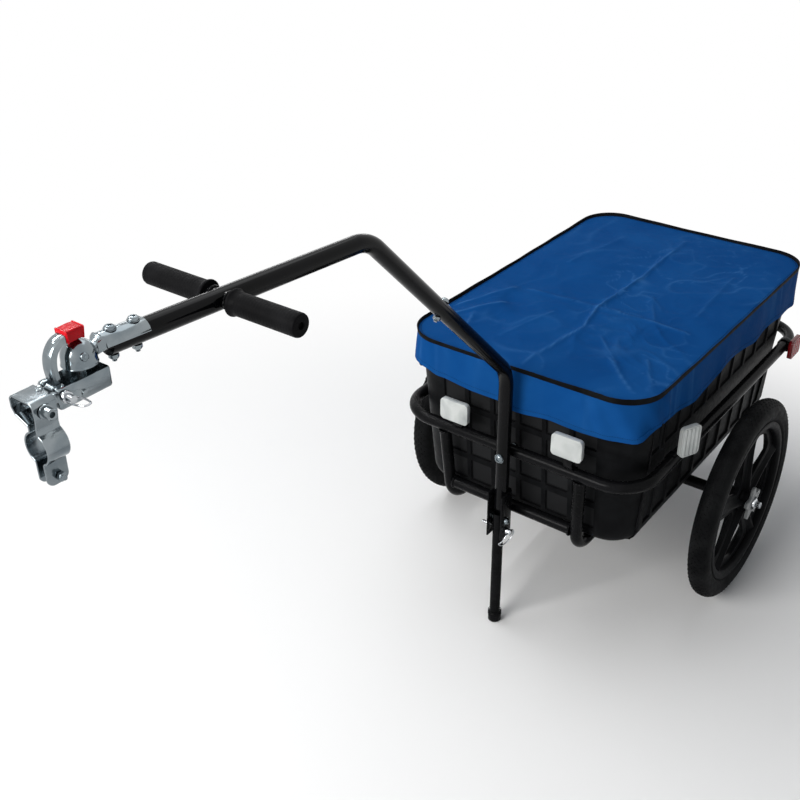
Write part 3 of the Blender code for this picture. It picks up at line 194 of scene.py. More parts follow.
class Shading:
    """Adds shader nodes to a node tree."""

    def __init__(self, tree: bpy.types.NodeTree) -> None:
        """Takes the tree's nodes and links."""
        self.nodes, self.links = tree.nodes, tree.links

    def node(self, kind: str, **settings: object) -> bpy.types.Node:
        """Adds a shader node.

        Args:
            kind: The node's type name.
            **settings: Attributes, or input values under the input's name with _ for a space.

        Returns:
            The new node.
        """
        made = self.nodes.new(kind)
        for name, value in settings.items():
            socket = made.inputs.get(name.replace("_", " "))
            if socket is None:
                setattr(made, name, value)
            elif isinstance(value, Socket):
                self.links.new(value, socket)
            else:
                socket.default_value = value
        return made

    def math(self, operation: str, first: Socket, second: Socket, clamp: bool = False) -> Socket:
        """Returns the result of a math node on two sockets."""
        made = self.node("ShaderNodeMath", operation=operation, use_clamp=clamp)
        self.links.new(first, made.inputs[0])
        self.links.new(second, made.inputs[1])
        return made.outputs["Value"]

    def mix(self, share: Socket, first: bpy.types.Node, second: bpy.types.Node, output: str) -> None:
        """Ends the tree with a mix of two shader nodes."""
        made = self.node("ShaderNodeMixShader")
        for i, socket in enumerate((share, first.outputs[0], second.outputs[0])):
            self.links.new(socket, made.inputs[i])
        self.links.new(made.outputs[0], self.nodes[output].inputs["Surface"])

    def seen_rays(self) -> Socket:
        """Returns 1 for camera, glossy and transmission rays, and 0 for the rest."""
        rays = self.node("ShaderNodeLightPath")
        share = rays.outputs["Is Camera Ray"]
        for name in ("Is Glossy Ray", "Is Transmission Ray"):
            share = self.math("ADD", share, rays.outputs[name], True)
        return share


class MaterialBuilder(Shading):
    """Builds the node material of one finish on Object coordinates.

    Scales are cycles per metre, and heights are in metres.
    """

    # Broad mottle between colour and tint: worn tone, and on metal partly painted reflection of bright and
    # dark surroundings
    BROAD = {Surface.CLOTH: 9.0, Surface.METAL: 28.0}
    BROAD_ELSE = 22.0
    WEAR_AND_REFLECTION = (0.38, 0.72)
    FINE = 120.0
    CRINKLE = 26.0
    CRINKLE_HEIGHT = 0.0016
    THREADS_PER_CYCLE = 6.0
    BRUSH = (0.12, 1.0, 1.0)
    SMOOTHEST = 0.03
    COAT_ROUGHNESS = 0.08

    def __init__(self, finish: Finish) -> None:
        """Starts an empty material with its shader."""
        self.finish = finish
        self.material = bpy.data.materials.new(f"{finish.slot}_finish")
        self.material.use_nodes = True
        super().__init__(self.material.node_tree)
        self.shader = self.nodes["Principled BSDF"]
        self.place = self.nodes.new("ShaderNodeTexCoord").outputs["Object"]

    def noise(self, scale: float, detail: float = 3.0, warp: float = 0.0) -> Socket:
        """Returns the output of a noise texture at a scale in cycles per metre."""
        values = {"Scale": scale, "Detail": detail, "Distortion": warp}
        return self.node("ShaderNodeTexNoise", Vector=self.place, **values).outputs["Fac"]

    def ramp(self, value: Socket, low: float, high: float, to: Sequence[float]) -> Socket:
        """Returns a value mapped from low..high on to a range, and kept inside it."""
        limits = {"From_Min": low, "From_Max": high, "To_Min": to[0], "To_Max": to[1]}
        return self.node("ShaderNodeMapRange", Value=value, **limits).outputs["Result"]

    def blend(self, share: Socket, first: object, second: object) -> Socket:
        """Returns a mix of two colours, each a socket or three linear values."""
        made = self.node("ShaderNodeMix", data_type="RGBA", Factor=share)
        for name, colour in (("A_Color", first), ("B_Color", second)):
            socket = next(s for s in made.inputs if s.identifier == name)
            if isinstance(colour, Socket):
                self.links.new(colour, socket)
            else:
                socket.default_value = (*colour, 1.0)
        return next(s for s in made.outputs if s.identifier == "Result_Color")

    def relief(self) -> Socket:
        """Returns the height pattern of the surface."""
        grain = self.finish.grain
        if self.finish.surface in (Surface.CLOTH, Surface.WEBBING):
            crossed = []
            for direction in ("X", "Y"):
                wave = self.node("ShaderNodeTexWave", bands_direction=direction, Vector=self.place)
                wave.inputs["Scale"].default_value = grain / self.THREADS_PER_CYCLE
                crossed.append(wave.outputs["Fac"])
            return self.math("MULTIPLY", *crossed)
        if self.finish.surface is Surface.LENS:
            cells = self.node("ShaderNodeTexVoronoi", Vector=self.place, Scale=grain)
            return cells.outputs["Distance"]
        if self.finish.surface is Surface.METAL:
            stretched = self.node("ShaderNodeMapping", Vector=self.place, Scale=self.BRUSH)
            way = stretched.outputs["Vector"]
            brushed = self.node("ShaderNodeTexNoise", Vector=way, Scale=grain * 2, Detail=4.0)
            return brushed.outputs["Fac"]
        return self.noise(grain, 4.0)

    def crinkled(self, normal: Socket) -> Socket:
        """Returns a normal that also follows the small sharp folds of coated cloth."""
        pattern = self.noise(self.CRINKLE, 5.0, 1.2).node
        pattern.noise_type = "RIDGED_MULTIFRACTAL"
        folds = self.node("ShaderNodeBump", Strength=0.35, Distance=self.CRINKLE_HEIGHT, Normal=normal)
        self.links.new(pattern.outputs["Fac"], folds.inputs["Height"])
        return folds.outputs["Normal"]

    def build(self) -> bpy.types.Material:
        """Returns the finished material."""
        finish = self.finish
        shader = self.shader.inputs
        # Painted reflection in part: on metal this mottle stands in for bright and dark surroundings
        # mirrored in it
        broad = self.noise(self.BROAD.get(finish.surface, self.BROAD_ELSE), 4.0, 0.6)
        colour = self.blend(self.ramp(broad, *self.WEAR_AND_REFLECTION, (0.0, 1.0)), finish.colour, finish.tint)
        # Painted light: where the attribute is set the colour turns paler, for light shown in sunk tub
        # panels and sheen on cloth creases
        if finish.painted_light_marks:
            name, painted_light_colour = finish.painted_light_marks
            mark = self.node("ShaderNodeAttribute", attribute_name=name)
            colour = self.blend(mark.outputs["Fac"], colour, painted_light_colour)
        self.links.new(colour, shader["Base Color"])
        low = max(finish.roughness - finish.spread / 2, self.SMOOTHEST)
        rough = self.ramp(self.noise(self.FINE), 0.3, 0.7, (low, low + finish.spread))
        self.links.new(rough, shader["Roughness"])
        shader["Metallic"].default_value = 1.0 if finish.surface is Surface.METAL else 0.0
        shader["Specular IOR Level"].default_value = finish.specular
        if finish.coat:
            shader["Coat Weight"].default_value = finish.coat
            shader["Coat Roughness"].default_value = self.COAT_ROUGHNESS
        bump = self.node("ShaderNodeBump", Strength=0.7, Distance=finish.bump, Height=self.relief())
        last = bump.outputs["Normal"]
        if finish.surface is Surface.CLOTH:
            last = self.crinkled(last)
        self.links.new(last, shader["Normal"])
        self.material.diffuse_color = (*finish.colour, 1.0)
        return self.material


class Tree:
    """A Geometry Nodes tree with named inputs that ends in Realize Instances and Set Material."""

    def __init__(self, name: str) -> None:
        """Starts the tree with its geometry and material inputs."""
        self.group = bpy.data.node_groups.new(name, "GeometryNodeTree")
        self.group.interface.new_socket("Geometry", in_out="OUTPUT", socket_type="NodeSocketGeometry")
        self.entry = self.group.nodes.new("NodeGroupInput")
        self.geometry = self.input("Geometry", "NodeSocketGeometry")
        self.material = self.input("Material", "NodeSocketMaterial")

    def input(self, name: str, kind: str, default: object = None) -> Socket:
        """Adds a named input to the tree and returns its socket inside it."""
        made = self.group.interface.new_socket(name, in_out="INPUT", socket_type=kind)
        if default is not None:
            made.default_value = default
        return self.entry.outputs[name]

    def node(self, kind: str, *values: object, out: int = 0, **settings: object) -> Socket:
        """Adds a node to the tree.

        Args:
            kind: The node's type name.
            *values: Sockets or values for its inputs in order; None leaves one as it is.
            out: Which output to return.
            **settings: Attributes to set on the node.

        Returns:
            The chosen output socket.
        """
        made = self.group.nodes.new(kind)
        for name, value in settings.items():
            setattr(made, name, value)
        open_inputs = [s for s in made.inputs if s.enabled]
        for socket, value in zip(open_inputs, values):
            if isinstance(value, Socket):
                self.group.links.new(value, socket)
            elif value is not None:
                socket.default_value = value
        return [s for s in made.outputs if s.enabled][out]

    def math(self, operation: str, *values: object) -> Socket:
        """Returns the result of a math node."""
        return self.node("ShaderNodeMath", *values, operation=operation)

    def finish(self, geometry: Socket) -> "Tree":
        """Ends the tree with plain geometry in the given material and returns it."""
        plain = self.node("GeometryNodeRealizeInstances", geometry)
        dressed = self.node("GeometryNodeSetMaterial", plain, None, self.material)
        self.group.links.new(dressed, self.group.nodes.new("NodeGroupOutput").inputs[0])
        return self

    def grow(self, source: Object, finish: Finish, values: dict[str, object]) -> Mesh:
        """Runs the tree on a work object.

        Args:
            source: The work object; it is removed.
            finish: The finish that the result wears.
            values: Values for the tree's named inputs.

        Returns:
            The plain mesh.
        """
        modifier = source.modifiers.new("grow", "NODES")
        modifier.node_group = self.group
        values = {**values, "Material": finish.material()}
        for item in self.group.interface.items_tree:
            if item.item_type == "SOCKET" and item.in_out == "INPUT" and item.name in values:
                modifier[item.identifier] = values[item.name]
        return plain_mesh(source)


def tube_tree() -> Tree:
    """Returns the tree that runs a round section along a polyline, with ripples for weld beads."""
    tree = Tree("tube_on_path")
    radius = tree.input("Radius", "NodeSocketFloat", 0.01)
    sides = tree.input("Sides", "NodeSocketInt", 24)
    ripple = tree.input("Ripple", "NodeSocketFloat", 0.0)
    waves = tree.input("Ripple Step", "NodeSocketFloat", 1.9)
    path = tree.node("GeometryNodeMeshToCurve", tree.geometry)
    swing = tree.math("SINE", tree.math("MULTIPLY", tree.node("GeometryNodeInputIndex"), waves))
    scale = tree.math("MULTIPLY_ADD", swing, ripple, 1.0)
    section = tree.node("GeometryNodeCurvePrimitiveCircle", sides, radius)
    return tree.finish(tree.node("GeometryNodeCurveToMesh", path, section, scale, True))


def ring_tree() -> Tree:
    """Returns the tree that repeats a unit shape about the Y axis."""
    tree = Tree("repeat_round_axis")
    count = tree.input("Count", "NodeSocketInt", 5)
    phase = tree.input("Phase", "NodeSocketFloat", 0.0)
    points = tree.node("GeometryNodePoints", count)
    step = tree.math("DIVIDE", math.tau, count)
    angle = tree.math("MULTIPLY_ADD", tree.node("GeometryNodeInputIndex"), step, phase)
    turn = tree.node("ShaderNodeCombineXYZ", None, angle, None)
    rotation = tree.node("FunctionNodeEulerToRotation", turn)
    placed = tree.node("GeometryNodeInstanceOnPoints", points, None, tree.geometry, None, None, rotation)
    return tree.finish(placed)


def path_tree() -> Tree:
    """Returns the tree that sets a unit shape along a polyline at a spacing, its X along the path."""
    tree = Tree("repeat_on_path")
    unit = tree.input("Unit", "NodeSocketObject")
    spacing = tree.input("Spacing", "NodeSocketFloat", 0.005)
    path = tree.node("GeometryNodeMeshToCurve", tree.geometry)
    length = tree.node("GeometryNodeCurveLength", path)
    count = tree.math("MAXIMUM", tree.math("ROUND", tree.math("DIVIDE", length, spacing)), 2.0)
    spread = tree.node("GeometryNodeResampleCurve", path, None, count)
    tangent = tree.node("GeometryNodeInputTangent")
    rotation = tree.node("FunctionNodeAlignRotationToVector", None, None, tangent, axis="X")
    shape = tree.node("GeometryNodeObjectInfo", unit, out=4)
    return tree.finish(tree.node("GeometryNodeInstanceOnPoints", spread, None, shape, None, None, rotation))


def relief_tree() -> Tree:
    """Returns the tree that sinks the marked points of a shell along its normals."""
    tree = Tree("sink_pockets")
    depth = tree.input("Depth", "NodeSocketFloat", 0.004)
    mark = tree.node("GeometryNodeInputNamedAttribute", "pocket", data_type="FLOAT")
    inward = tree.math("MULTIPLY", tree.math("MULTIPLY", mark, depth), -1.0)
    normal = tree.node("GeometryNodeInputNormal")
    offset = tree.node("ShaderNodeVectorMath", normal, inward, operation="SCALE")
    return tree.finish(tree.node("GeometryNodeSetPosition", tree.geometry, None, None, offset))


TUBES = tube_tree()
RINGS = ring_tree()
PATHS = path_tree()
RELIEF = relief_tree()


def placed(name: str, data: bpy.types.ID | None) -> Object:
    """Returns a new object in the scene."""
    made = bpy.data.objects.new(name, data)
    bpy.context.scene.collection.objects.link(made)
    return made


def work(data: bpy.types.ID) -> Object:
    """Returns a new work object in the scene."""
    return placed("work", data)


def plain_mesh(obj: Object) -> Mesh:
    """Returns the evaluated mesh of a work object with its place applied; the object is removed."""
    bpy.context.view_layer.update()
    evaluated = obj.evaluated_get(bpy.context.evaluated_depsgraph_get())
    mesh = bpy.data.meshes.new_from_object(evaluated)
    mesh.transform(obj.matrix_world)
    bpy.data.objects.remove(obj)
    return mesh


def tidied(mesh: Mesh, weld: float = 1e-6, out: bool = True) -> Mesh:
    """Returns the mesh with its doubles merged and its faces pointing out."""
    shape = bmesh.new()
    shape.from_mesh(mesh)
    bmesh.ops.remove_doubles(shape, verts=shape.verts, dist=weld)
    if out:
        bmesh.ops.recalc_face_normals(shape, faces=shape.faces)
    shape.to_mesh(mesh)
    shape.free()
    return mesh


def joined(meshes: Iterable[Mesh]) -> Mesh:
    """Returns one mesh that holds all the given ones."""
    shape = bmesh.new()
    for mesh in meshes:
        shape.from_mesh(mesh)
    made = bpy.data.meshes.new("joined")
    shape.to_mesh(made)
    shape.free()
    return made


def moved(mesh: Mesh, matrix: Matrix) -> Mesh:
    """Returns the mesh after a transform."""
    mesh.transform(matrix)
    return mesh


def settle(
    name: str,
    mesh: Mesh,
    finish: str,
    body: str,
    replaces: Sequence[str] = (),
    sharp: float = 35.0,
    shifted: bool = True,
) -> Object:
    """Makes a mesh one finished piece of the trailer.

    Args:
        name: The piece's name.
        mesh: Its mesh, with its sizes from the axle unless shifted is False.
        finish: The finish's name.
        body: The body that it rides on.
        replaces: CAD nodes that it stands for.
        sharp: Edges sharper than this many degrees stay sharp.
        shifted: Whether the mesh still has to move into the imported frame.

    Returns:
        The piece.
    """
    if shifted:
        mesh.transform(Matrix.Translation(SHIFT))
    mesh.materials.clear()
    mesh.materials.append(FINISHES[finish].material())
    mesh.polygons.foreach_set("use_smooth", [True] * len(mesh.polygons))
    mesh.set_sharp_from_angle(angle=math.radians(sharp))
    mesh.name = name
    piece = placed(name, mesh)
    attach(piece, body)
    if replaces:
        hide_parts(*replaces)
    LOG.info("%s: %d faces on %s", name, len(mesh.polygons), body)
    return piece


def polyline(points: Sequence[Point], cyclic: bool = False) -> Object:
    """Returns a work object that holds a chain of edges."""
    mesh = bpy.data.meshes.new("path")
    edges = [(i, i + 1) for i in range(len(points) - 1)]
    if cyclic:
        edges.append((len(points) - 1, 0))
    mesh.from_pydata([tuple(p) for p in points], edges, [])
    return work(mesh)


def tube(
    points: Sequence[Point],
    radius: float,
    sides: int = 28,
    cyclic: bool = False,
    ripple: float = 0.0,
    finish: str = "black_satin",
) -> Mesh:
    """Returns a round bar along a polyline.

    Args:
        points: The bar's centre line.
        radius: Its radius.
        sides: The number of sides of its section.
        cyclic: Whether the line closes on itself.
        ripple: The share by which the radius swings along it.
        finish: The finish's name.

    Returns:
        The bar's mesh.
    """
    values = {"Radius": radius, "Sides": sides, "Ripple": ripple}
    return tidied(TUBES.grow(polyline(points, cyclic), FINISHES[finish], values))


def repeated(mesh: Mesh, count: int, phase: float, finish: str) -> Mesh:
    """Returns copies of a mesh turned about the Y axis through the origin."""
    return RINGS.grow(work(mesh), FINISHES[finish], {"Count": count, "Phase": phase})


def along(points: Sequence[Point], unit: Mesh, spacing: float, finish: str, cyclic: bool = False) -> Mesh:
    """Returns copies of a unit mesh along a polyline.

    Args:
        points: The line.
        unit: The mesh that is repeated; its X follows the line.
        spacing: The distance between two copies.
        finish: The finish's name.
        cyclic: Whether the line closes on itself.

    Returns:
        All the copies as one mesh.
    """
    shape = work(unit)
    mesh = PATHS.grow(polyline(points, cyclic), FINISHES[finish], {"Unit": shape, "Spacing": spacing})
    bpy.data.objects.remove(shape)
    return mesh


def filleted(points: Sequence[Point], radius: float, steps: int = 10) -> list[Vector]:
    """Returns a polyline with each inner corner turned into an arc."""
    out = [Vector(points[0])]
    for before, corner, after in zip(points, points[1:], points[2:]):
        corner = Vector(corner)
        to_before = (Vector(before) - corner).normalized()
        to_after = (Vector(after) - corner).normalized()
        half = to_before.angle(to_after) / 2
        back = radius / math.tan(half)
        middle = corner + (to_before + to_after).normalized() * (radius / math.sin(half))
        first = corner + to_before * back - middle
        last = corner + to_after * back - middle
        swing = first.angle(last)
        for i in range(steps + 1):
            t = i / steps
            arm = first * math.sin((1 - t) * swing) + last * math.sin(t * swing)
            out.append(middle + arm / math.sin(swing))
    out.append(Vector(points[-1]))
    return out


def smoothed(points: Sequence[Point], steps: int = 6, cyclic: bool = False) -> list[Vector]:
    """Returns points on a smooth curve through the given ones."""
    knots = [Vector(p) for p in points]
    count = len(knots)
    out = []
    for i in range(count if cyclic else count - 1):
        if cyclic:
            a, b, c, d = (knots[(i + k) % count] for k in (-1, 0, 1, 2))
        else:
            a, b, c, d = (knots[min(max(i + k, 0), count - 1)] for k in (-1, 0, 1, 2))
        for k in range(steps):
            t = k / steps
            square = (2 * a - 5 * b + 4 * c - d) * t**2
            cube = (3 * b - a - 3 * c + d) * t**3
            out.append(0.5 * ((2 * b) + (c - a) * t + square + cube))
    if not cyclic:
        out.append(knots[-1])
    return out


def arc(centre: Point, radius: float, start: float, end: float, steps: int) -> Outline:
    """Returns points on a circle between two angles in degrees."""
    out = []
    for i in range(steps + 1):
        angle = math.radians(start + (end - start) * i / steps)
        out.append((centre[0] + radius * math.cos(angle), centre[1] + radius * math.sin(angle)))
    return out


def corners(front: float, rear: float, half: float, corner: float, steps: int) -> list[Outline]:
    """Returns the four corner arcs anticlockwise seen from above, from the left side's front end."""
    near, far, side = front - corner, rear + corner, half - corner
    centres = ((near, side), (far, side), (far, -side), (near, -side))
    return [arc(at, corner, 90 * k, 90 * k + 90, steps) for k, at in enumerate(centres)]


def rounded_rectangle(front: float, rear: float, half: float, corner: float, steps: int) -> Outline:
    """Returns the points of a rectangle with round corners."""
    return [point for quarter in corners(front, rear, half, corner, steps) for point in quarter]


def axis_matrix(axis: Point, at: Point) -> Matrix:
    """Returns the transform that lays local Z on an axis through a point."""
    turn = Vector((0, 0, 1)).rotation_difference(Vector(axis)).to_matrix().to_4x4()
    return Matrix.Translation(Vector(at)) @ turn


def turned(profile: Sequence[Point], axis: Point, at: Point, steps: int = 40, closed: bool = False) -> Mesh:
    """Returns a body of revolution.

    Args:
        profile: Pairs of a radius and a height along the axis.
        axis: The axis.
        at: The place on the axis at height zero.
        steps: The number of steps round the axis.
        closed: Whether the profile's last point joins its first.

    Returns:
        The body's mesh.
    """
    shape = bmesh.new()
    verts = [shape.verts.new((r, 0.0, h)) for r, h in profile]
    edges = [shape.edges.new(pair) for pair in zip(verts, verts[1:])]
    if closed:
        edges.append(shape.edges.new((verts[-1], verts[0])))
    bmesh.ops.spin(shape, geom=verts + edges, cent=(0, 0, 0), axis=(0, 0, 1), angle=math.tau, steps=steps)
    mesh = bpy.data.meshes.new("turned")
    shape.to_mesh(mesh)
    shape.free()
    return moved(tidied(mesh, 1e-5), axis_matrix(axis, at))


def bands(rings: int, count: int, looped: bool = False) -> list[tuple[int, ...]]:
    """Returns the faces between neighbouring rings of so many points each."""
    faces = []
    for k in range(rings if looped else rings - 1):
        here, there = k * count, (k + 1) % rings * count
        for i in range(count):
            j = (i + 1) % count
            faces.append((here + i, here + j, there + j, there + i))
    return faces


def loft(rings: Sequence[Sequence[Point]], capped: bool = True, looped: bool = False) -> Mesh:
    """Returns a body through rings that hold the same number of points.

    Args:
        rings: The rings in order.
        capped: Whether the first and the last ring are closed with a face.
        looped: Whether the last ring joins the first.

    Returns:
        The body's mesh.
    """
    count = len(rings[0])
    faces = bands(len(rings), count, looped)
    if capped and not looped:
        faces.append(tuple(range(count)))
        faces.append(tuple(range(count * (len(rings) - 1), count * len(rings))))
    mesh = bpy.data.meshes.new("loft")
    mesh.from_pydata([tuple(p) for ring in rings for p in ring], [], faces)
    return tidied(mesh)


def softened(mesh: Mesh, width: float, segments: int = 2, angle: float = 30.0) -> Mesh:
    """Returns the mesh with its sharp edges rounded."""
    obj = work(mesh)
    edge = obj.modifiers.new("edge", "BEVEL")
    edge.width = width
    edge.segments = segments
    edge.limit_method = "ANGLE"
    edge.angle_limit = math.radians(angle)
    edge.harden_normals = False
    return plain_mesh(obj)


def thickened(mesh: Mesh, thickness: float) -> Mesh:
    """Returns a surface as a skin that grows from it to its inner side."""
    obj = work(mesh)
    skin = obj.modifiers.new("skin", "SOLIDIFY")
    skin.thickness = thickness
    skin.offset = -1
    return plain_mesh(obj)


def plate(outlines: Sequence[Outline], thickness: float, place: Matrix, edge: float = 0.0) -> Mesh:
    """Returns a flat plate.

    Args:
        outlines: Its outline, and the outlines of its holes.
        thickness: Its thickness, half of it on each side of the plane.
        place: The transform whose XY plane it lies in.
        edge: The radius of its rounded edges, or 0 for sharp ones.

    Returns:
        The plate's mesh.
    """
    curve = bpy.data.curves.new("outline", "CURVE")
    curve.dimensions = "2D"
    curve.fill_mode = "BOTH"
    curve.extrude = thickness / 2
    for outline in outlines:
        line = curve.splines.new("POLY")
        line.points.add(len(outline) - 1)
        for point, (x, y) in zip(line.points, outline):
            point.co = (x, y, 0.0, 1.0)
        line.use_cyclic_u = True
    obj = work(curve)
    obj.matrix_world = place
    mesh = tidied(plain_mesh(obj), 2e-6)
    return softened(mesh, edge, 2, 50.0) if edge else mesh


def refined(node: str, width: float, segments: int = 2, angle: float = 30.0) -> Mesh:
    """Returns a CAD node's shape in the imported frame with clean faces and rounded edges.

    Args:
        node: The CAD node that is copied.
        width: The radius of the rounded edges.
        segments: How many faces round each edge.
        angle: Edges sharper than this many degrees are rounded.

    Returns:
        The mesh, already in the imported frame.
    """
    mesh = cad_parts[node].data.copy()
    shape = bmesh.new()
    shape.from_mesh(mesh)
    bmesh.ops.remove_doubles(shape, verts=shape.verts, dist=1e-5)
    bmesh.ops.dissolve_limit(shape, angle_limit=math.radians(1.0), verts=shape.verts, edges=shape.edges)
    for edge in shape.edges:
        edge.smooth = True
    shape.to_mesh(mesh)
    shape.free()
    if mesh.attributes.get("custom_normal"):
        mesh.attributes.remove(mesh.attributes["custom_normal"])
    return softened(mesh, width, segments, angle)


def nut(across: float, height: float, bore: float) -> Mesh:
    """Returns a hexagon nut along Z from zero, chamfered at both ends."""
    corner = across / math.sqrt(3)
    narrow = corner * 0.9
    rings = []
    for radius, z in ((narrow, 0.0), (corner, height * 0.14), (corner, height * 0.86), (narrow, height)):
        rings.append([(x, y, z) for x, y in arc((0, 0), radius, 0, 300, 5)])
    raised, sunk = height + 0.0001, height - 0.0002
    thread = turned([(0, raised), (bore, raised), (bore, sunk), (0, sunk)], UP, ORIGIN, 20)
    return joined((softened(loft(rings), across * 0.02, 1, 20), thread))


def domed_head(radius: float, height: float) -> Mesh:
    """Returns a domed bolt head with a washer and a hexagon socket, along Z from zero."""
    inner, outer, thick = radius * 0.5, radius * 1.12, height * 0.16
    washer = [(inner, 0.0), (outer, 0.0), (outer, thick), (inner, thick)]
    depth = height * 0.62
    dome = [(0, depth), (radius * 0.34, depth), (radius * 0.4, height * 0.97)]
    for degrees in range(15, 91, 15):
        angle = math.radians(degrees)
        dome.append((radius * (0.42 + 0.58 * math.sin(angle)), height * (0.18 + 0.8 * math.cos(angle))))
    dome.append((0, height * 0.14))
    return joined((turned(washer, UP, ORIGIN, 32, True), turned(dome, UP, ORIGIN, 32)))


def threaded(radius: float, length: float, pitch: float = 0.0009) -> Outline:
    """Returns the profile of a threaded end of a length, as rings."""
    out = [(0.0, length), (radius - pitch / 2, length)]
    z = length - pitch / 2
    while z > 0:
        out += [(radius, z), (radius - pitch * 0.45, z - pitch / 2)]
        z -= pitch
    return out + [(0.0, z)]


def bowl(radius: float, degrees: Iterable[float]) -> Outline:
    """Returns the profile of a round surface at angles from the axis."""
    angles = [math.radians(d) for d in degrees]
    return [(radius * math.sin(a), radius * math.cos(a)) for a in angles]


def weld_bead(radius: float, bead: float, ripple: float, finish: str, place: Matrix) -> Mesh:
    """Returns a rippled bead round a tube of a radius, in a place's XY plane."""
    ring = [(x, y, 0.0) for x, y in arc((0, 0), radius + 0.0002, 0, 352.5, 47)]
    return moved(tube(ring, bead, 10, cyclic=True, ripple=ripple, finish=finish), place)


@dataclass(frozen=True)
class Bolt:
    """A domed bolt with a hexagon nut.

    The head is (radius, height), the nut is (width over flats, height, bore) and the thread is
    (radius, length past the nut's seat).
    """

    head: Pair
    nut: Triple
    thread: Pair | None = None
    steps: int = 20

    def ends(self, axis: Point, head_at: Point, nut_at: Point) -> list[Mesh]:
        """Returns the head facing along the axis, and the nut and the thread's end facing back."""
        way = Vector(axis)
        head = moved(domed_head(*self.head), axis_matrix(way, head_at))
        parts = [head, moved(nut(*self.nut), axis_matrix(-way, nut_at))]
        if self.thread:
            parts.append(turned(threaded(*self.thread), -way, nut_at, self.steps))
        return parts


@dataclass(frozen=True)
class Lamp:
    """A soft panel lamp that faces a point; its power is in watts."""

    name: str
    at: Triple
    to: Triple
    size: Pair
    power: float
    colour: Triple = (1.0, 1.0, 1.0)

    def build(self) -> None:
        """Adds the lamp."""
        data = bpy.data.lights.new(self.name, "AREA")
        data.shape = "RECTANGLE"
        data.size, data.size_y = self.size
        data.energy = self.power
        data.color = self.colour
        made = placed(self.name, data)
        aim = (Vector(self.to) - Vector(self.at)).to_track_quat("-Z", "Y").to_matrix().to_4x4()
        made.matrix_world = Matrix.Translation(self.at) @ aim
        made.visible_camera = False


@dataclass(frozen=True)
class Studio:
    """The camera, the floor and the light; angles are in degrees, and the lens is in millimetres."""

    eye: Triple = (1.30687, 0.82324, 1.42263)
    yaw: float = 217.8
    pitch: float = 30.7
    roll: float = -0.85
    lens: float = 48.56
    sensor: float = 36.0
    floor_size: float = 30.0
    fade_start: float = 0.75
    fade_end: float = 1.6
    floor_colour: tuple[float, float, float, float] = (0.9, 0.9, 0.9, 1.0)
    sky_colour: tuple[float, float, float, float] = (0.93, 0.96, 1.0, 1.0)
    sky_strength: float = 0.25
    lamps: tuple[Lamp, ...] = (
        Lamp("key_panel", (3.2, -0.7, 2.1), (0.0, 0.0, 0.4), (2.0, 1.5), 118.0, (1.0, 0.99, 0.97)),
        Lamp("top_panel", (-0.8, -0.9, 3.2), (-0.2, 0.0, 0.3), (2.6, 2.2), 26.0, (0.97, 0.985, 1.0)),
        Lamp("side_panel", (0.8, 3.2, 1.6), (0.0, 0.1, 0.3), (1.6, 1.2), 2.0, (1.0, 0.98, 0.95)),
        Lamp("long_strip", (0.4, -1.7, 2.5), (0.3, 0.0, 0.9), (2.6, 0.05), 22.0),
        Lamp("low_strip", (-1.33, -2.4, 1.25), (0.5, 0.0, 0.9), (3.0, 0.1), 8.0),
    )

    def build(self) -> None:
        """Sets up the view, the backdrop and the lamps."""
        self.camera()
        self.backdrop()
        for lamp in self.lamps:
            lamp.build()

    def camera(self) -> None:
        """Places the camera."""
        yaw, pitch, roll = (math.radians(a) for a in (self.yaw, self.pitch, self.roll))
        level = math.cos(pitch)
        forward = Vector((level * math.cos(yaw), level * math.sin(yaw), -math.sin(pitch)))
        side = forward.cross(Vector(UP)).normalized()
        rise = side.cross(forward)
        right = side * math.cos(roll) + rise * math.sin(roll)
        up = rise * math.cos(roll) - side * math.sin(roll)
        data = bpy.data.cameras.new("view")
        data.lens = self.lens
        data.sensor_width = self.sensor
        data.clip_end = 100.0
        made = placed("view", data)
        turn = Matrix((right, up, -forward)).transposed().to_4x4()
        made.matrix_world = Matrix.Translation(self.eye) @ turn
        bpy.context.scene.camera = made

    def backdrop(self) -> None:
        """Makes the pale floor and the white world."""
        half = self.floor_size / 2
        rim = [(-half, -half, 0), (half, -half, 0), (half, half, 0), (-half, half, 0)]
        mesh = bpy.data.meshes.new("floor")
        mesh.from_pydata(rim, [], [(0, 1, 2, 3)])
        floor = placed("floor", mesh)
        mesh.materials.append(self.floor_paint())
        world = bpy.data.worlds.new("studio")
        bpy.context.scene.world = world
        world.use_nodes = True
        sky = Shading(world.node_tree)
        soft = sky.nodes["Background"]
        soft.inputs["Color"].default_value = self.sky_colour
        soft.inputs["Strength"].default_value = self.sky_strength
        white = sky.node("ShaderNodeBackground", Color=(1.0, 1.0, 1.0, 1.0), Strength=1.0)
        sky.mix(sky.seen_rays(), soft, white, "World Output")
        bpy.context.scene.view_settings.view_transform = "Standard"

    def floor_paint(self) -> bpy.types.Material:
        """Returns a matt pale paint that keeps the shadow near the trailer and turns white far off."""
        paint = bpy.data.materials.new("floor_paint")
        paint.use_nodes = True
        tree = Shading(paint.node_tree)
        shader = tree.nodes["Principled BSDF"]
        shader.inputs["Base Color"].default_value = self.floor_colour
        shader.inputs["Roughness"].default_value = 0.9
        shader.inputs["Specular IOR Level"].default_value = 0.05
        white = tree.node("ShaderNodeEmission")
        far = tree.node("ShaderNodeVectorMath", operation="LENGTH")
        tree.links.new(tree.node("ShaderNodeTexCoord").outputs["Object"], far.inputs[0])
        limits = {"From_Min": self.fade_start, "From_Max": self.fade_end}
        away = far.outputs["Value"]
        fade = tree.node("ShaderNodeMapRange", interpolation_type="SMOOTHSTEP", Value=away, **limits)
        seen = tree.math("MULTIPLY", fade.outputs["Result"], tree.seen_rays())
        tree.mix(seen, shader, white, "Material Output")
        return paint


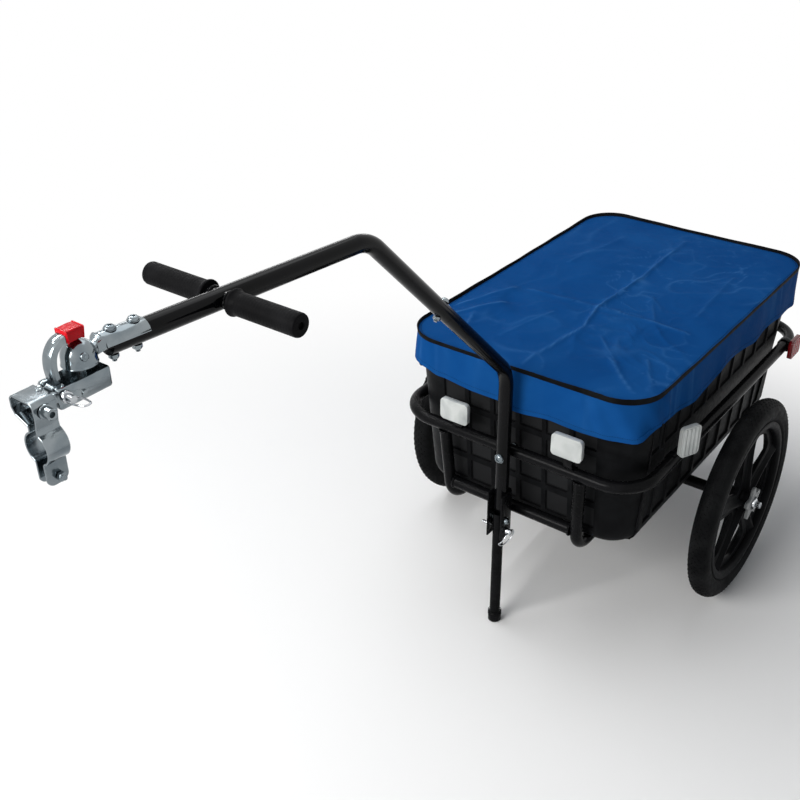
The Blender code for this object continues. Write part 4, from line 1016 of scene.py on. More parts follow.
@dataclass(frozen=True)
class TubeFrame:
    """The welded frame: ring, runners, crossbar and axle tube."""

    tube: float = FRAME_TUBE
    ring_z: float = RING_Z
    ring_front: float = RING_FRONT
    ring_rear: float = -0.411
    ring_half: float = 0.244
    ring_corner: float = 0.07
    runner_z: float = 0.203
    runner_bend: float = 0.045
    runner_top_y: float = 0.14
    runner_y: float = 0.134
    runner_foot: float = 0.325
    crossbar_z: float = 0.246
    axle_z: float = AXLE_Z
    axle_tube_half: float = 0.266
    collar_bore: float = 0.0075
    collar_length: float = 0.006
    collar_rise: float = 0.0012
    bead: float = 0.0021
    bead_ripple: float = 0.22
    seam_x: float = 0.0117
    bead_sunk: float = 0.0008

    def build(self) -> None:
        """Makes the frame's tubes and their weld beads."""
        loop = rounded_rectangle(self.ring_front, self.ring_rear, self.ring_half, self.ring_corner, 14)
        ring = tube([(x, y, self.ring_z) for x, y in loop], self.tube, 32, cyclic=True)
        settle("ring_tube", ring, "black_satin", "frame", ["frame_ring"])
        beads = [*self.runners(), *self.crossbar()]
        self.axle_tube()
        settle("frame_welds", joined(beads), "black_satin", "frame")

    def runners(self) -> list[Mesh]:
        """Makes the four runners that go under the tub, and returns their weld beads."""
        top, low = self.ring_z - self.tube, self.runner_z
        beads = []
        for side, name in SIDES:
            y = side * self.runner_y
            front_top = (self.ring_front, side * self.runner_top_y, top)
            rear_top = (self.ring_rear, y, top)
            front = [front_top, (self.runner_foot, y, low), (self.tube, y, low)]
            rear = [(-self.tube, y, low), (self.ring_rear, y, low), rear_top]
            for end, line in (("front", front), ("rear", rear)):
                mesh = tube(filleted(line, self.runner_bend, 12), self.tube)
                settle(f"{name}_{end}_runner_tube", mesh, "black_satin", "frame", [f"{name}_{end}_runner"])
            beads += [self.weld(front_top, UP), self.weld(rear_top, UP)]
            beads += [self.weld((s * self.seam_x, y, low), ALONG) for s in (1, -1)]
        return beads

    def crossbar(self) -> list[Mesh]:
        """Makes the bar between the front runners, and returns its weld beads."""
        z = self.crossbar_z
        rise = (z - self.runner_z) / (self.ring_z - self.tube - self.runner_z)
        reach = self.runner_y + (self.runner_top_y - self.runner_y) * rise - self.tube
        x = self.runner_foot + (self.ring_front - self.runner_foot) * rise
        bar = tube([(x, -reach, z), (x, reach, z)], self.tube)
        settle("front_crossbar_tube", bar, "black_satin", "frame", ["front_crossbar"])
        return [self.weld((x, side * (reach - self.bead_sunk), z), ACROSS) for side, _ in SIDES]

    def axle_tube(self) -> None:
        """Makes the tube across the trailer with a collar at each end."""
        half = self.axle_tube_half
        start = half - self.collar_length
        inner, outer = self.collar_bore, self.tube + self.collar_rise
        parts = [tube([(0, -half, self.axle_z), (0, half, self.axle_z)], self.tube)]
        for side, _ in SIDES:
            section = [(inner, start), (outer, start), (outer, half), (inner, half)]
            profile = [(r, side * h) for r, h in section]
            parts.append(turned(profile, ACROSS, (0, 0, self.axle_z), 40, True))
        settle("axle_cross_tube", joined(parts), "black_satin", "frame", ["axle_tube"])

    def weld(self, at: Point, axis: Point) -> Mesh:
        """Returns the weld bead round a tube's end."""
        return weld_bead(self.tube, self.bead, self.bead_ripple, "black_satin", axis_matrix(axis, at))


@dataclass(frozen=True)
class TowBar:
    """The two tow tubes, their bolts, and the cross handle."""

    foot: Pair = (0.3645, 0.262)
    low_bend: Pair = (0.3645, 0.5405)
    high_bend: Pair = TOW_BEND
    end_x: float = TOW_END
    bend: float = 0.07
    radius: float = TOW_RADIUS
    seam_at: float = 0.25
    seam_gap: float = 0.0006
    slip_bolt_at: float = 0.02
    slip_bolt: Bolt = Bolt((0.0062, 0.006), (0.0105, 0.0048, 0.003), (0.003, 0.0078))
    ring_bolt: Bolt = Bolt((0.008, 0.0052), (0.0125, 0.0052, 0.004))
    handle_x: float = 0.9765
    handle_half: float = 0.1184
    handle_radius: float = 0.01
    handle_bead: float = 0.0018
    grip_radius: float = 0.014
    grip_start: float = 0.019
    groove_depth: float = 0.00009
    groove_pitch: float = 0.0042

    def build(self) -> None:
        """Makes the tow bar and everything bolted to it but the hitch."""
        foot, low, high = (Vector((x, 0, z)) for x, z in (self.foot, self.low_bend, self.high_bend))
        way = (high - low).normalized()
        seam = low + way * self.seam_at
        end = Vector((self.end_x, 0, tow_z(self.end_x)))
        lines = {"lower": [foot, low, seam], "upper": [seam + way * self.seam_gap, high, end]}
        for name, line in lines.items():
            mesh = tube(filleted(line, self.bend, 16), self.radius, 36, finish="black_gloss")
            settle(f"{name}_tow_bar", mesh, "black_gloss", "frame", [f"{name}_tow_tube"])
        self.bolts(way, seam + way * self.slip_bolt_at)
        self.handle()

    def bolts(self, way: Vector, at: Vector) -> None:
        """Makes the bolt that locks the two tubes together and the one through the frame ring."""
        across = way.cross(Vector(ACROSS)).normalized()
        reach = across * self.radius
        ends = self.slip_bolt.ends(across, at + reach, at - reach)
        settle("slip_bolt_ends", joined(ends), "zinc", "frame", ["slip_joint_bolt"])
        front, rear = self.foot[0] + self.radius, RING_FRONT - FRAME_TUBE
        ends = self.ring_bolt.ends(ALONG, (front, 0, RING_Z), (rear, 0, RING_Z))
        settle("ring_bolt_ends", joined(ends), "zinc", "frame", ["ring_bolt"])

    def handle(self) -> None:
        """Makes the cross tube and its two rubber grips."""
        x, z = self.handle_x, tow_z(self.handle_x)
        for side, name in SIDES:
            line = [(x, side * y, z) for y in (self.radius * 0.55, self.handle_half - 0.005)]
            stub = tube(line, self.handle_radius, 32, finish="black_gloss")
            place = axis_matrix(ACROSS, (x, side * (self.radius + 0.0004), z))
            bead = weld_bead(self.handle_radius, self.handle_bead, 0.2, "black_gloss", place)
            mesh = joined((stub, bead))
            settle(f"{name}_handle_tube", mesh, "black_gloss", "frame", [f"{name}_handle_stub"])
            settle(f"{name}_handle_grip", self.grip(side, z), "rubber", "frame", [f"{name}_grip"])

    def grip(self, side: int, z: float) -> Mesh:
        """Returns a ribbed grip with an inner flange and an end hole."""
        start, end, radius = self.grip_start, self.handle_half, self.grip_radius
        flange = ((0.0153, 0.0), (0.0161, 0.0008), (0.0163, 0.002), (0.016, 0.0034), (0.0152, 0.0044))
        profile = [(self.handle_radius, start), *[(r, start + y) for r, y in flange]]
        profile += [(radius + 0.0006, start + 0.0062), (radius, start + 0.0085)]
        low = radius - self.groove_depth
        y = start + 0.011
        while y < end - 0.008:
            profile += [(radius, y), (low, y + 0.0006), (low, y + 0.001), (radius, y + 0.0016)]
            y += self.groove_pitch
        profile += [(radius, end - 0.0032), (radius - 0.0006, end - 0.0012), (radius - 0.002, end - 0.0001)]
        profile += [(0.0052, end), (0.0045, end - 0.0006), (0.0045, end - 0.004), (0.0, end - 0.004)]
        return turned([(r, side * h) for r, h in profile], ACROSS, (self.handle_x, 0, z), 48)


@dataclass(frozen=True)
class Tub:
    """The moulded tub with sunk panels all round."""

    floor_z: float = 0.2143
    rim_z: float = 0.529
    rim_depth: float = 0.011
    overhang: float = 0.0058
    recess: float = 0.004
    wall: float = 0.0026
    floor_half: float = 0.2175
    top_half: float = 0.232
    floor_front: float = 0.303
    top_front: float = 0.33
    floor_rear: float = -0.352
    top_rear: float = -0.398
    corner: float = 0.062
    corner_least: float = 0.012
    floor_round: float = 0.026
    corner_steps: int = 12
    slope: float = 0.0016
    end_rows: tuple[Pair, ...] = ((0.246, 0.292), (0.304, 0.344), (0.356, 0.404), (0.416, 0.508))
    side_rows: tuple[Pair, ...] = ((0.246, 0.344), (0.4, 0.508))
    side_start: float = -0.29
    side_pitch: float = 0.0585
    side_half: float = 0.0245
    side_panels: int = 10
    end_pitch: float = 0.0535
    end_half: float = 0.0225
    end_panels: int = 6

    def edges(self, z: float) -> Triple:
        """Returns the half width, front and rear of the outer wall at a height."""
        t = (z - self.floor_z) / (self.rim_z - self.floor_z)
        half = self.floor_half + (self.top_half - self.floor_half) * t
        front = self.floor_front + (self.top_front - self.floor_front) * t
        rear = self.floor_rear + (self.top_rear - self.floor_rear) * t
        return half, front, rear

    @property
    def side_spans(self) -> list[Pair]:
        """The panels' spans along X on the two sides."""
        middles = [self.side_start + i * self.side_pitch for i in range(self.side_panels)]
        return [(x - self.side_half, x + self.side_half) for x in middles]

    @property
    def end_spans(self) -> list[Pair]:
        """The panels' spans along Y on the two ends."""
        middles = [(i - (self.end_panels - 1) / 2) * self.end_pitch for i in range(self.end_panels)]
        return [(y - self.end_half, y + self.end_half) for y in middles]

    def lines(self, spans: Iterable[Pair]) -> list[float]:
        """Returns the grid lines at both edges of each span and at the foot of its slopes."""
        out = []
        for low, high in spans:
            out += [low, low + self.slope, high - self.slope, high]
        return out

    def inside(self, value: float, spans: Iterable[Pair]) -> bool:
        """Returns whether a value lies on the sunk part of a span."""
        return any(low + self.slope * 0.9 < value < high - self.slope * 0.9 for low, high in spans)

    def levels(self) -> list[Pair]:
        """Returns the heights of the shell's rings and how far each lies inside the wall's line."""
        curve = []
        for i in range(8):
            angle = math.radians(90 * i / 7)
            z = self.floor_z + self.floor_round * (1 - math.sin(angle))
            curve.append((z, self.floor_round * (1 - math.cos(angle))))
        heights = sorted({round(v, 5) for v in self.lines(self.end_rows) + self.lines(self.side_rows)})
        wall = [(z, 0.0) for z in heights if z > self.floor_z + self.floor_round + 0.001]
        top, under, out = self.rim_z, self.rim_z - self.rim_depth, -self.overhang
        rim = [(under, 0.0), (under + 0.0004, out * 0.8), (under + 0.0016, out)]
        rim += [(top - 0.0016, out), (top, out + 0.0016), (top, 0.0005)]
        return curve[::-1] + wall + rim

    def ring(self, z: float, inset: float) -> list[Triple]:
        """Returns one ring of the shell as X, Y and 1 for a point on a sunk panel or 0 elsewhere."""
        half, front, rear = self.edges(min(z, self.rim_z - self.rim_depth))
        half, front, rear = half - inset, front - inset, rear + inset
        on_side, on_end = self.inside(z, self.side_rows), self.inside(z, self.end_rows)
        sides, ends = self.side_spans, self.end_spans
        along_x = [(x, float(on_side and self.inside(x, sides))) for x in self.lines(sides)]
        along_y = [(y, float(on_end and self.inside(y, ends))) for y in self.lines(ends)]
        radius = max(self.corner - inset, self.corner_least)
        quarters = corners(front, rear, half, radius, self.corner_steps)
        arcs = [[(*p, 0.0) for p in quarter] for quarter in quarters]
        out = arcs[0] + [(x, half, mark) for x, mark in reversed(along_x)]
        out += arcs[1] + [(rear, y, mark) for y, mark in reversed(along_y)]
        out += arcs[2] + [(x, -half, mark) for x, mark in along_x]
        return out + arcs[3] + [(front, y, mark) for y, mark in along_y]

    def build(self) -> None:
        """Makes the tub."""
        levels = self.levels()
        rings = [self.ring(z, inset) for z, inset in levels]
        points = [(x, y, z) for (z, _), ring in zip(levels, rings) for x, y, _ in ring]
        painted_light_marks = [mark for ring in rings for _, _, mark in ring]
        count = len(rings[0])
        mesh = bpy.data.meshes.new("shell")
        mesh.from_pydata(points, [], [*bands(len(rings), count), tuple(reversed(range(count)))])
        mesh.attributes.new("pocket", "FLOAT", "POINT").data.foreach_set("value", painted_light_marks)
        sunk = RELIEF.grow(work(mesh), FINISHES["black_plastic"], {"Depth": self.recess})
        shell = softened(thickened(tidied(sunk, out=False), self.wall), 0.0005, 2, 25)
        settle("tub_shell", shell, "black_plastic", "frame", ["tub"], 50)


def eased(table: Sequence[Pair], value: float) -> float:
    """Returns a table's value with soft steps between its entries.

    Args:
        table: Pairs of a place and its value, in rising order of the places.
        value: The place.

    Returns:
        The value there, and the nearest entry's value past either end.
    """
    for (a, za), (b, zb) in zip(table, table[1:]):
        if value <= b:
            t = min(max((value - a) / (b - a), 0), 1)
            return za + (zb - za) * t * t * (3 - 2 * t)
    return table[-1][1]


@dataclass(frozen=True)
class Cover:
    """The cloth cover with its binding, stitches and hooks."""

    top_z: float = 0.5324
    half: float = 0.2398
    front: float = 0.3378
    rear: float = -0.4058
    corner: float = 0.0698
    edge: float = 0.005
    skin: float = 0.0009
    binding_height: float = 0.0062
    binding_width: float = 0.0021
    seam_allowance: float = 0.012
    pleat: float = 0.013
    creases: tuple[tuple[float, float, float, float, float, float], ...] = (
        (-0.345, -0.004, -0.12, 0.006, 0.0034, 0.005),
        (-0.12, 0.006, 0.06, 0.000, 0.0042, 0.0048),
        (0.055, 0.000, 0.13, 0.018, 0.0036, 0.005),
        (0.13, 0.018, 0.318, -0.002, 0.0038, 0.0055),
        (0.052, -0.15, 0.046, 0.01, 0.0024, 0.0046),
        (0.046, 0.01, 0.052, 0.188, 0.003, 0.0046),
        (0.3, 0.2, 0.215, 0.11, 0.003, 0.006),
        (0.275, 0.222, 0.18, 0.165, 0.0026, 0.0055),
        (0.24, -0.215, 0.13, -0.15, 0.005, 0.01),
        (0.19, -0.222, 0.06, -0.17, 0.0044, 0.011),
        (0.285, -0.15, 0.2, -0.175, 0.0034, 0.008),
        (-0.23, 0.15, -0.02, 0.165, 0.0018, 0.007),
        (-0.3, -0.12, -0.1, -0.15, 0.0018, 0.008),
        (0.15, 0.06, 0.24, 0.14, 0.002, 0.005),
        (-0.06, 0.06, 0.04, 0.11, 0.0016, 0.005),
        (0.11, -0.06, 0.25, -0.09, 0.0018, 0.006),
    )
    puckers: tuple[Triple, ...] = (
        (0.03, 0.003, 0.006),
        (0.052, 0.004, 0.007),
        (0.082, 0.0044, 0.009),
        (0.118, 0.0034, 0.01),
        (0.15, 0.003, 0.009),
    )
    folds: tuple[Triple, ...] = (
        (12.0, 0.0022, 3.1),
        (25.0, 0.0012, 8.4),
        (52.0, 0.0005, 1.7),
    )
    # Painted highlight along packing folds: scale, noise layer and strength
    sheen_folds: tuple[Triple, ...] = ((12.0, 3.1, 0.35), (25.0, 8.4, 0.3))
    front_hem: tuple[Pair, ...] = (
        (-0.24, 0.48), (-0.187, 0.476), (-0.158, 0.467), (-0.032, 0.4625),
        (0.006, 0.452), (0.085, 0.458), (0.179, 0.46), (0.24, 0.466),
    )
    side_hem: tuple[Pair, ...] = (
        (-0.407, 0.452), (-0.35, 0.452), (-0.291, 0.458), (-0.221, 0.465),
        (-0.139, 0.461), (-0.07, 0.466), (0.002, 0.474), (0.071, 0.461),
        (0.134, 0.46), (0.21, 0.468), (0.282, 0.477), (0.34, 0.468),
    )
    rear_hem: tuple[Pair, ...] = (
        (-0.24, 0.455), (-0.15, 0.463), (0.0, 0.458), (0.15, 0.462), (0.24, 0.452),
    )
    blend_length: float = 0.045
    top_rings: int = 62
    skirt_rings: int = 20
    stitch_pitch: float = 0.0042
    hook_x: float = 0.27
    hook_line: tuple[Pair, ...] = (
        (0, -0.004), (0, 0.01), (0.0002, 0.022), (0.0005, 0.036),
        (0.003, 0.0435), (0.0062, 0.044), (0.0085, 0.0405),
    )

    def outline(self, spacing: float = 0.006) -> Places:
        """Returns places round the top edge with their outward directions."""
        ring = rounded_rectangle(self.front, self.rear, self.half, self.corner, 16)
        out = []
        for i, (x, y) in enumerate(ring):
            nx, ny = ring[(i + 1) % len(ring)]
            gap = math.hypot(nx - x, ny - y)
            parts = max(int(gap / spacing), 1)
            for k in range(parts):
                t = k / parts
                at = Vector((x + (nx - x) * t, y + (ny - y) * t))
                if gap > 1e-6:
                    out.append((at, self.outward(at)))
        return out

    def outward(self, at: Vector) -> Vector:
        """Returns the outward direction at a place on the outline."""
        core_x = min(max(at.x, self.rear + self.corner), self.front - self.corner)
        core_y = min(max(at.y, self.corner - self.half), self.half - self.corner)
        return Vector((at.x - core_x, at.y - core_y)).normalized()

    def hem(self, x: float, y: float) -> float:
        """Returns the height of the lower edge at a place on the outline."""
        height = eased(self.side_hem, x)
        front = min(max((x - 0.285) / self.blend_length, 0), 1)
        height += (eased(self.front_hem, y) - height) * front
        rear = min(max((-0.355 - x) / self.blend_length, 0), 1)
        height += (eased(self.rear_hem, y) - height) * rear
        return height

    @staticmethod
    def on_crease(crease: Sequence[float], x: float, y: float) -> Triple:
        """Returns how far a place lies along a crease and beside it, and the crease's length."""
        x0, y0, x1, y1 = crease[:4]
        dx, dy = x1 - x0, y1 - y0
        length = math.hypot(dx, dy)
        t = ((x - x0) * dx + (y - y0) * dy) / length
        off = ((x - x0) * dy - (y - y0) * dx) / length
        return t, off + 0.0022 * noise.noise((t * 22, x0 * 9, y0 * 9)), length

    @staticmethod
    def fold(x: float, y: float, scale: float, layer: float) -> float:
        """Returns a warped noise whose zero lines are the folds left by packing the cloth."""
        bend = 0.6 * noise.noise((x * scale * 0.6, y * scale * 0.6, layer + 9))
        return noise.noise((x * scale + bend, y * scale - bend, layer))

    def top(self, x: float, y: float) -> float:
        """Returns the height of the top cloth over its edge at a place."""
        middle = (self.front + self.rear) / 2
        share = max(abs(x - middle) / (self.front - middle), abs(y) / self.half)
        fade = max(0.0, 1 - share**6)
        rise = 0.002 + 0.0022 * noise.noise((x * 7, y * 7, 0.3))
        rise += 0.001 * noise.noise((x * 17, y * 17, 2.1))
        dip = math.exp(-(((x - 0.17) / 0.13) ** 2) - (((y + 0.16) / 0.07) ** 2))
        rise += 0.0042 * dip * noise.noise((x * 21, y * 21, 7.7))
        busy = 0.35 + math.exp(-(((x - 0.17) / 0.14) ** 2) - (((y - 0.09) / 0.12) ** 2))
        rise += busy * self.crumple(x, y)
        for crease in self.creases:
            high, wide = crease[4:]
            t, off, length = self.on_crease(crease, x, y)
            ends = min(max(min(t, length - t) / 0.02 + 0.35, 0.0), 1.0)
            rise += high * ends * math.exp(-abs(off / wide) ** 1.4)
        return rise * fade

    def painted_sheen(self, x: float, y: float) -> float:
        """Returns how strongly a painted highlight lies on the creases and folds at a place, from 0 to 1.
        """
        out = 0.0
        for crease in self.creases:
            _, _, x1, y1, high, _ = crease
            t, off, length = self.on_crease(crease, x, y)
            if 0 < t < length:
                faded = 0.45 + 0.55 * noise.noise((t * 31, x1 * 7, y1 * 7))
                out = max(out, min(high / 0.005, 1.0) * faded * math.exp(-((off / 0.0022) ** 2)))
        for scale, layer, strong in self.sheen_folds:
            patch = max(0.0, noise.noise((x * 9, y * 9, layer + 4)) * 1.6)
            line = max(0.0, 1 - abs(self.fold(x, y, scale, layer)) * 9)
            out = max(out, strong * patch * line ** 2)
        return out

    def crumple(self, x: float, y: float) -> float:
        """Returns the height of the small sharp folds left by packing the cloth."""
        out = 0.0
        for scale, high, layer in self.folds:
            out += high * max(0.0, 1 - abs(self.fold(x, y, scale, layer)) * 2.6) ** 3
        return out

    def flare(self, x: float, y: float, drop: float) -> float:
        """Returns how far the skirt stands out at a place, at a share of its drop."""
        out = 0.003 + 0.0018 * math.sin(47 * x + 31 * y) + 0.001 * math.sin(23 * x - 58 * y + 1)
        out += 0.001 * noise.noise((x * 30, y * 30, drop * 2.0))
        out += 0.0016 * noise.noise((x * 13, y * 13, 4.0)) * math.sin(math.pi * min(drop, 1.0))
        out *= drop
        corner = math.hypot(x - 0.318, y - 0.22)
        out += self.pleat * drop**1.2 * math.exp(-((corner / 0.017) ** 2))
        if x > 0.24 and y > 0:
            path = math.atan2(y - 0.1, x - 0.2) * 0.12
            for at, high, wide in self.puckers:
                lean = at + (drop - 0.5) * 0.02
                beside = math.exp(-(((path - lean) / wide) ** 2))
                out += high * math.sin(math.pi * min(drop, 1.0)) ** 0.5 * beside
        return out

    def surface(self, at: Vector, out: Vector, drop: float) -> Vector:
        """Returns a point of the skirt at a share of its drop."""
        start = self.top_z - self.edge * 0.6
        z = start - (start - self.hem(at.x, at.y)) * drop
        push = self.flare(at.x, at.y, drop)
        return Vector((at.x + out.x * push, at.y + out.y * push, z))

    def build(self) -> None:
        """Makes the cover and everything sewn to it."""
        outline = self.outline()
        cloth = settle("cover_cloth", self.cloth(outline), "blue_cloth", "cover", ["cover"], 60)
        pieces = [self.binding(outline), self.stitches(outline), *self.hooks()]
        count = len(outline)
        skirt = sum((self.top_z - self.hem(at.x, at.y)) for at, _ in outline) / count

    def cloth(self, outline: Places) -> Mesh:
        """Returns the cloth from its middle over the edge and down to the turned hem."""
        rings = [*self.top_cloth(outline), *self.edge_cloth(outline)]
        for i in range(1, self.skirt_rings + 1):
            rings.append([self.surface(at, out, i / self.skirt_rings) for at, out in outline])
        fold = list(zip(rings[-1], outline))
        for inward, rise in ((0.0016, 0.0006), (0.002, 0.011)):
            rings.append([p - Vector((*out, 0)) * inward + Vector((0, 0, rise)) for p, (_, out) in fold])
        count = len(outline)
        faces = [tuple(range(count))]
        faces += [(a, d, c, b) for a, b, c, d in bands(len(rings), count)]
        places = [p for ring in rings for p in ring]
        mesh = bpy.data.meshes.new("cloth")
        mesh.from_pydata(places, [], faces)
        # Painted highlight: the crease attribute carries the sheen of creases and folds into the cloth's
        # colour
        painted_light_marks = [self.painted_sheen(p.x, p.y) for p in places]
        mesh.attributes.new("crease", "FLOAT", "POINT").data.foreach_set("value", painted_light_marks)
        return tidied(thickened(mesh, self.skin))

    def top_cloth(self, outline: Places) -> list[list[Vector]]:
        """Returns the rings of the top, each a smaller copy of the outline."""
        middle = Vector(((self.front + self.rear) / 2, 0.0))
        inset = 1 - self.edge / self.half
        last = self.top_rings - 1
        rings = []
        for i in range(last):
            share = 0.015 + 0.985 * (i / last) ** 0.85
            ring = [middle + (at - middle) * share * inset for at, _ in outline]
            rings.append([Vector((p.x, p.y, self.top_z + self.top(p.x, p.y))) for p in ring])
        return rings

    def edge_cloth(self, outline: Places) -> list[list[Vector]]:
        """Returns the rings that turn from the top into the skirt."""
        rings = []
        for i in range(4):
            angle = math.radians(90 * i / 3)
            back = self.edge * (1 - math.sin(angle))
            z = self.top_z - self.edge * 0.6 * (1 - math.cos(angle))
            rings.append([Vector((at.x - out.x * back, at.y - out.y * back, z)) for at, out in outline])
        return rings

    def binding(self, outline: Places) -> Object:
        """Makes the folded tape that binds the seam of top and skirt."""
        rings = []
        low, wide = -0.0024, self.binding_width / 2
        for i, (at, out) in enumerate(outline):
            wobble = 0.0005 * math.sin(i * 0.37) + 0.0004 * math.sin(i * 0.13 + 2)
            lean = 0.0012 + wobble
            front_corner = math.hypot(at.x - 0.322, at.y - 0.2)
            high = self.binding_height + 0.0008 * math.sin(i * 0.071)
            high += 0.0026 * math.exp(-((front_corner / 0.07) ** 2))
            tip = high - low - 0.003
            section = ((-wide, low), (wide, low), (wide * 1.15, high * 0.4), (wide * 0.9, tip))
            section += ((0.0, high - low - 0.0024), (-wide * 0.9, tip), (-wide * 1.15, high * 0.4))
            ring = []
            for off, up in section:
                push = -0.0006 + lean * max(up, 0) / high + off
                ring.append((at.x + out.x * push, at.y + out.y * push, self.top_z - 0.0006 + up))
            rings.append(ring)
        mesh = softened(loft(rings, capped=False, looped=True), 0.0002, 1, 40)
        return settle("cover_binding", mesh, "black_tape", "cover", ["cover_piping"], 45)

    def stitches(self, outline: Places) -> Object:
        """Makes the stitch rows beside the binding and over the hem."""
        profile = [(0, 0.0013), (0.00028, 0.001), (0.00028, -0.001), (0, -0.0013)]
        unit = turned(profile, ALONG, ORIGIN, 5)
        upper = [Vector((at.x - out.x * 0.0062, at.y - out.y * 0.0062, 0)) for at, out in outline]
        upper = [Vector((p.x, p.y, self.top_z + self.top(p.x, p.y) + 0.0001)) for p in upper]
        rows = [along(upper, unit.copy(), self.stitch_pitch, "black_tape", True)]
        lower = []
        for at, out in outline:
            drop = 1 - 0.009 / (self.top_z - self.hem(at.x, at.y))
            lower.append(self.surface(at, out, drop) + Vector((*out, 0)) * 0.0001)
        rows.append(along(lower, unit, self.stitch_pitch, "black_tape", True))
        return settle("cover_stitches", joined(rows), "black_tape", "cover")

    def hooks(self) -> list[Object]:
        """Makes the two elastic hooks at the hem."""
        made = []
        x = self.hook_x
        for side, name in SIDES:
            base = Vector((x, side * self.half))
            y = side * (self.half + self.flare(x, side * self.half, 1.0) - self.skin / 2)
            top = self.hem(base.x, base.y)
            path = smoothed([(x, y + side * out, top - down) for out, down in self.hook_line], 5)
            hook = tube(path, 0.0022, 14, ripple=0.05, finish="black_tape")
            made.append(settle(f"{name}_elastic_hook", hook, "black_tape", "cover", [f"{name}_cover_hook"]))
        return made


@dataclass(frozen=True)
class Wheel:
    """One wheel: tyre with tread, moulded rim with five spokes, hub cap and nut."""

    side: int
    name: str
    y: float = 0.309
    z: float = AXLE_Z
    bead: float = 0.153
    lip: float = 0.159
    rim_half: float = 0.0168
    rim_inner: float = 0.144
    hub_half: float = 0.02
    hub_radius: float = 0.0205
    spokes: int = 5
    treads: int = 88
    tread_rise: float = 0.0009
    tread_rows: tuple[tuple[float, ...], ...] = (
        (0.0, 0.0044, 0.0088, 0.0, 0.0),
        (0.0063, 0.0036, 0.0074, 0.35, 0.5),
        (-0.0063, 0.0036, 0.0074, -0.35, 0.5),
        (0.0118, 0.0034, 0.006, 0.5, 0.0),
        (-0.0118, 0.0034, 0.006, -0.5, 0.0),
        (0.016, 0.003, 0.005, 0.2, 0.5),
        (-0.016, 0.003, 0.005, -0.2, 0.5),
    )

    @property
    def place(self) -> Matrix:
        """The transform from the wheel's own middle to its place, its outer side towards +Y or -Y."""
        return Matrix.Translation((0, self.side * self.y, self.z)) @ Matrix.Diagonal((1, self.side, 1, 1))

    def put(
        self,
        name: str,
        meshes: Sequence[Mesh],
        finish: str,
        replaces: Sequence[str],
        sharp: float = 35.0,
    ) -> None:
        """Makes meshes in the wheel's own frame one piece that turns with the wheel."""
        mesh = moved(joined(meshes), self.place)
        if self.side < 0:
            mesh.flip_normals()
        nodes = [f"{self.name}_{node}" for node in replaces]
        settle(f"{self.name}_{name}", mesh, finish, f"{self.name}_wheel", nodes, sharp)

    def build(self) -> None:
        """Makes the wheel."""
        self.put("tyre_casing", [self.casing()], "tyre", ["tyre"])
        self.put("tyre_tread", self.tread(), "tyre", [])
        self.put("rim_barrel", [self.barrel()], "black_plastic", ["wheel_rim"])
        self.put("wheel_web", [self.web()], "black_plastic", [], 30)
        self.put("spoke_ridges", [self.ridges()], "black_plastic", [], 25)
        self.put("hub_shell", [self.hub()], "black_plastic", [])
        self.put("hub_star", [self.star()], "grey_plastic", ["hub_cap"])
        self.axle_nut()

    @staticmethod
    def crown(across: float) -> float:
        """Returns the carcass's radius at a distance from its middle plane."""
        table = ((0.0, 0.1989), (0.006, 0.1983), (0.012, 0.1955), (0.0168, 0.1905), (0.0196, 0.184))
        for (a, ra), (b, rb) in zip(table, table[1:]):
            if across <= b:
                return ra + (rb - ra) * (across - a) / (b - a)
        return table[-1][1]

    def casing(self) -> Mesh:
        """Returns the tyre's carcass."""
        outer = [
            (0.1989, 0.0), (0.1983, 0.006), (0.1955, 0.012), (0.1905, 0.0168), (0.184, 0.0196),
            (0.178, 0.0204), (0.1715, 0.0198), (0.1668, 0.018), (0.1655, 0.0182),
            (0.1642, 0.0176), (0.1615, 0.0152), (0.16, 0.0136), (self.bead, 0.0134),
        ]
        half = [*outer, (self.bead, 0.01), (0.176, 0.0165)]
        ring = [*half, (0.1935, 0.0), *[(r, -h) for r, h in reversed(half[1:])]]
        return turned(ring, ACROSS, ORIGIN, 120, closed=True)

    def tread(self) -> list[Mesh]:
        """Returns the rows of tread blocks."""
        rows = []
        for across, wide, long, tilt, phase in self.tread_rows:
            lean = math.asin(min(max(across / 0.0235, -0.95), 0.95))
            top = self.crown(abs(across)) + self.tread_rise
            turn = Matrix.Rotation(-lean, 4, "X") @ Matrix.Rotation(tilt, 4, "Z")
            unit = moved(self.block(wide, long), Matrix.Translation((0, across, top)) @ turn)
            rows.append(repeated(unit, self.treads, phase * math.tau / self.treads, "tyre"))
        return rows

    @staticmethod
    def block(wide: float, long: float) -> Mesh:
        """Returns one tread block that narrows upwards, its top at zero."""
        rings = []
        for grow, z in ((1.15, -0.0034), (0.85, 0.0)):
            x, y = long / 2 * grow, wide / 2 * grow
            left = [(x, y * 0.6, z), (x * 0.7, y, z), (-x * 0.7, y, z)]
            right = [(-x, -y * 0.6, z), (-x * 0.7, -y, z), (x * 0.7, -y, z)]
            rings.append(left + right)
        return loft(rings)

    def barrel(self) -> Mesh:
        """Returns the rim's round barrel with its lips."""
        w, lip, bead = self.rim_half, self.lip, self.bead
        half = [
            (0.144, 0.0), (0.144, 0.0118), (0.1452, 0.0138), (0.1495, w - 0.0002),
            (0.152, w + 0.0001), (lip - 0.0012, w), (lip, w - 0.001), (lip, w - 0.0024),
            (lip - 0.0008, w - 0.0028), (bead - 0.0004, w - 0.003),
            (bead - 0.0008, 0.008), (bead - 0.003, 0.0),
        ]
        ring = half + [(r, -h) for r, h in reversed(half[1:-1])]
        return turned(ring, ACROSS, ORIGIN, 120, closed=True)

    def web(self) -> Mesh:
        """Returns the flat web between the spokes with its five windows."""
        lay = Matrix.Rotation(math.radians(90), 4, "X")
        disc = arc((0, 0), self.rim_inner + 0.001, 0, 356, 89)
        step = 360 / self.spokes
        windows = [self.window(90 + step / 2 + step * k) for k in range(self.spokes)]
        return plate([disc, *windows], 0.007, lay, 0.0022)

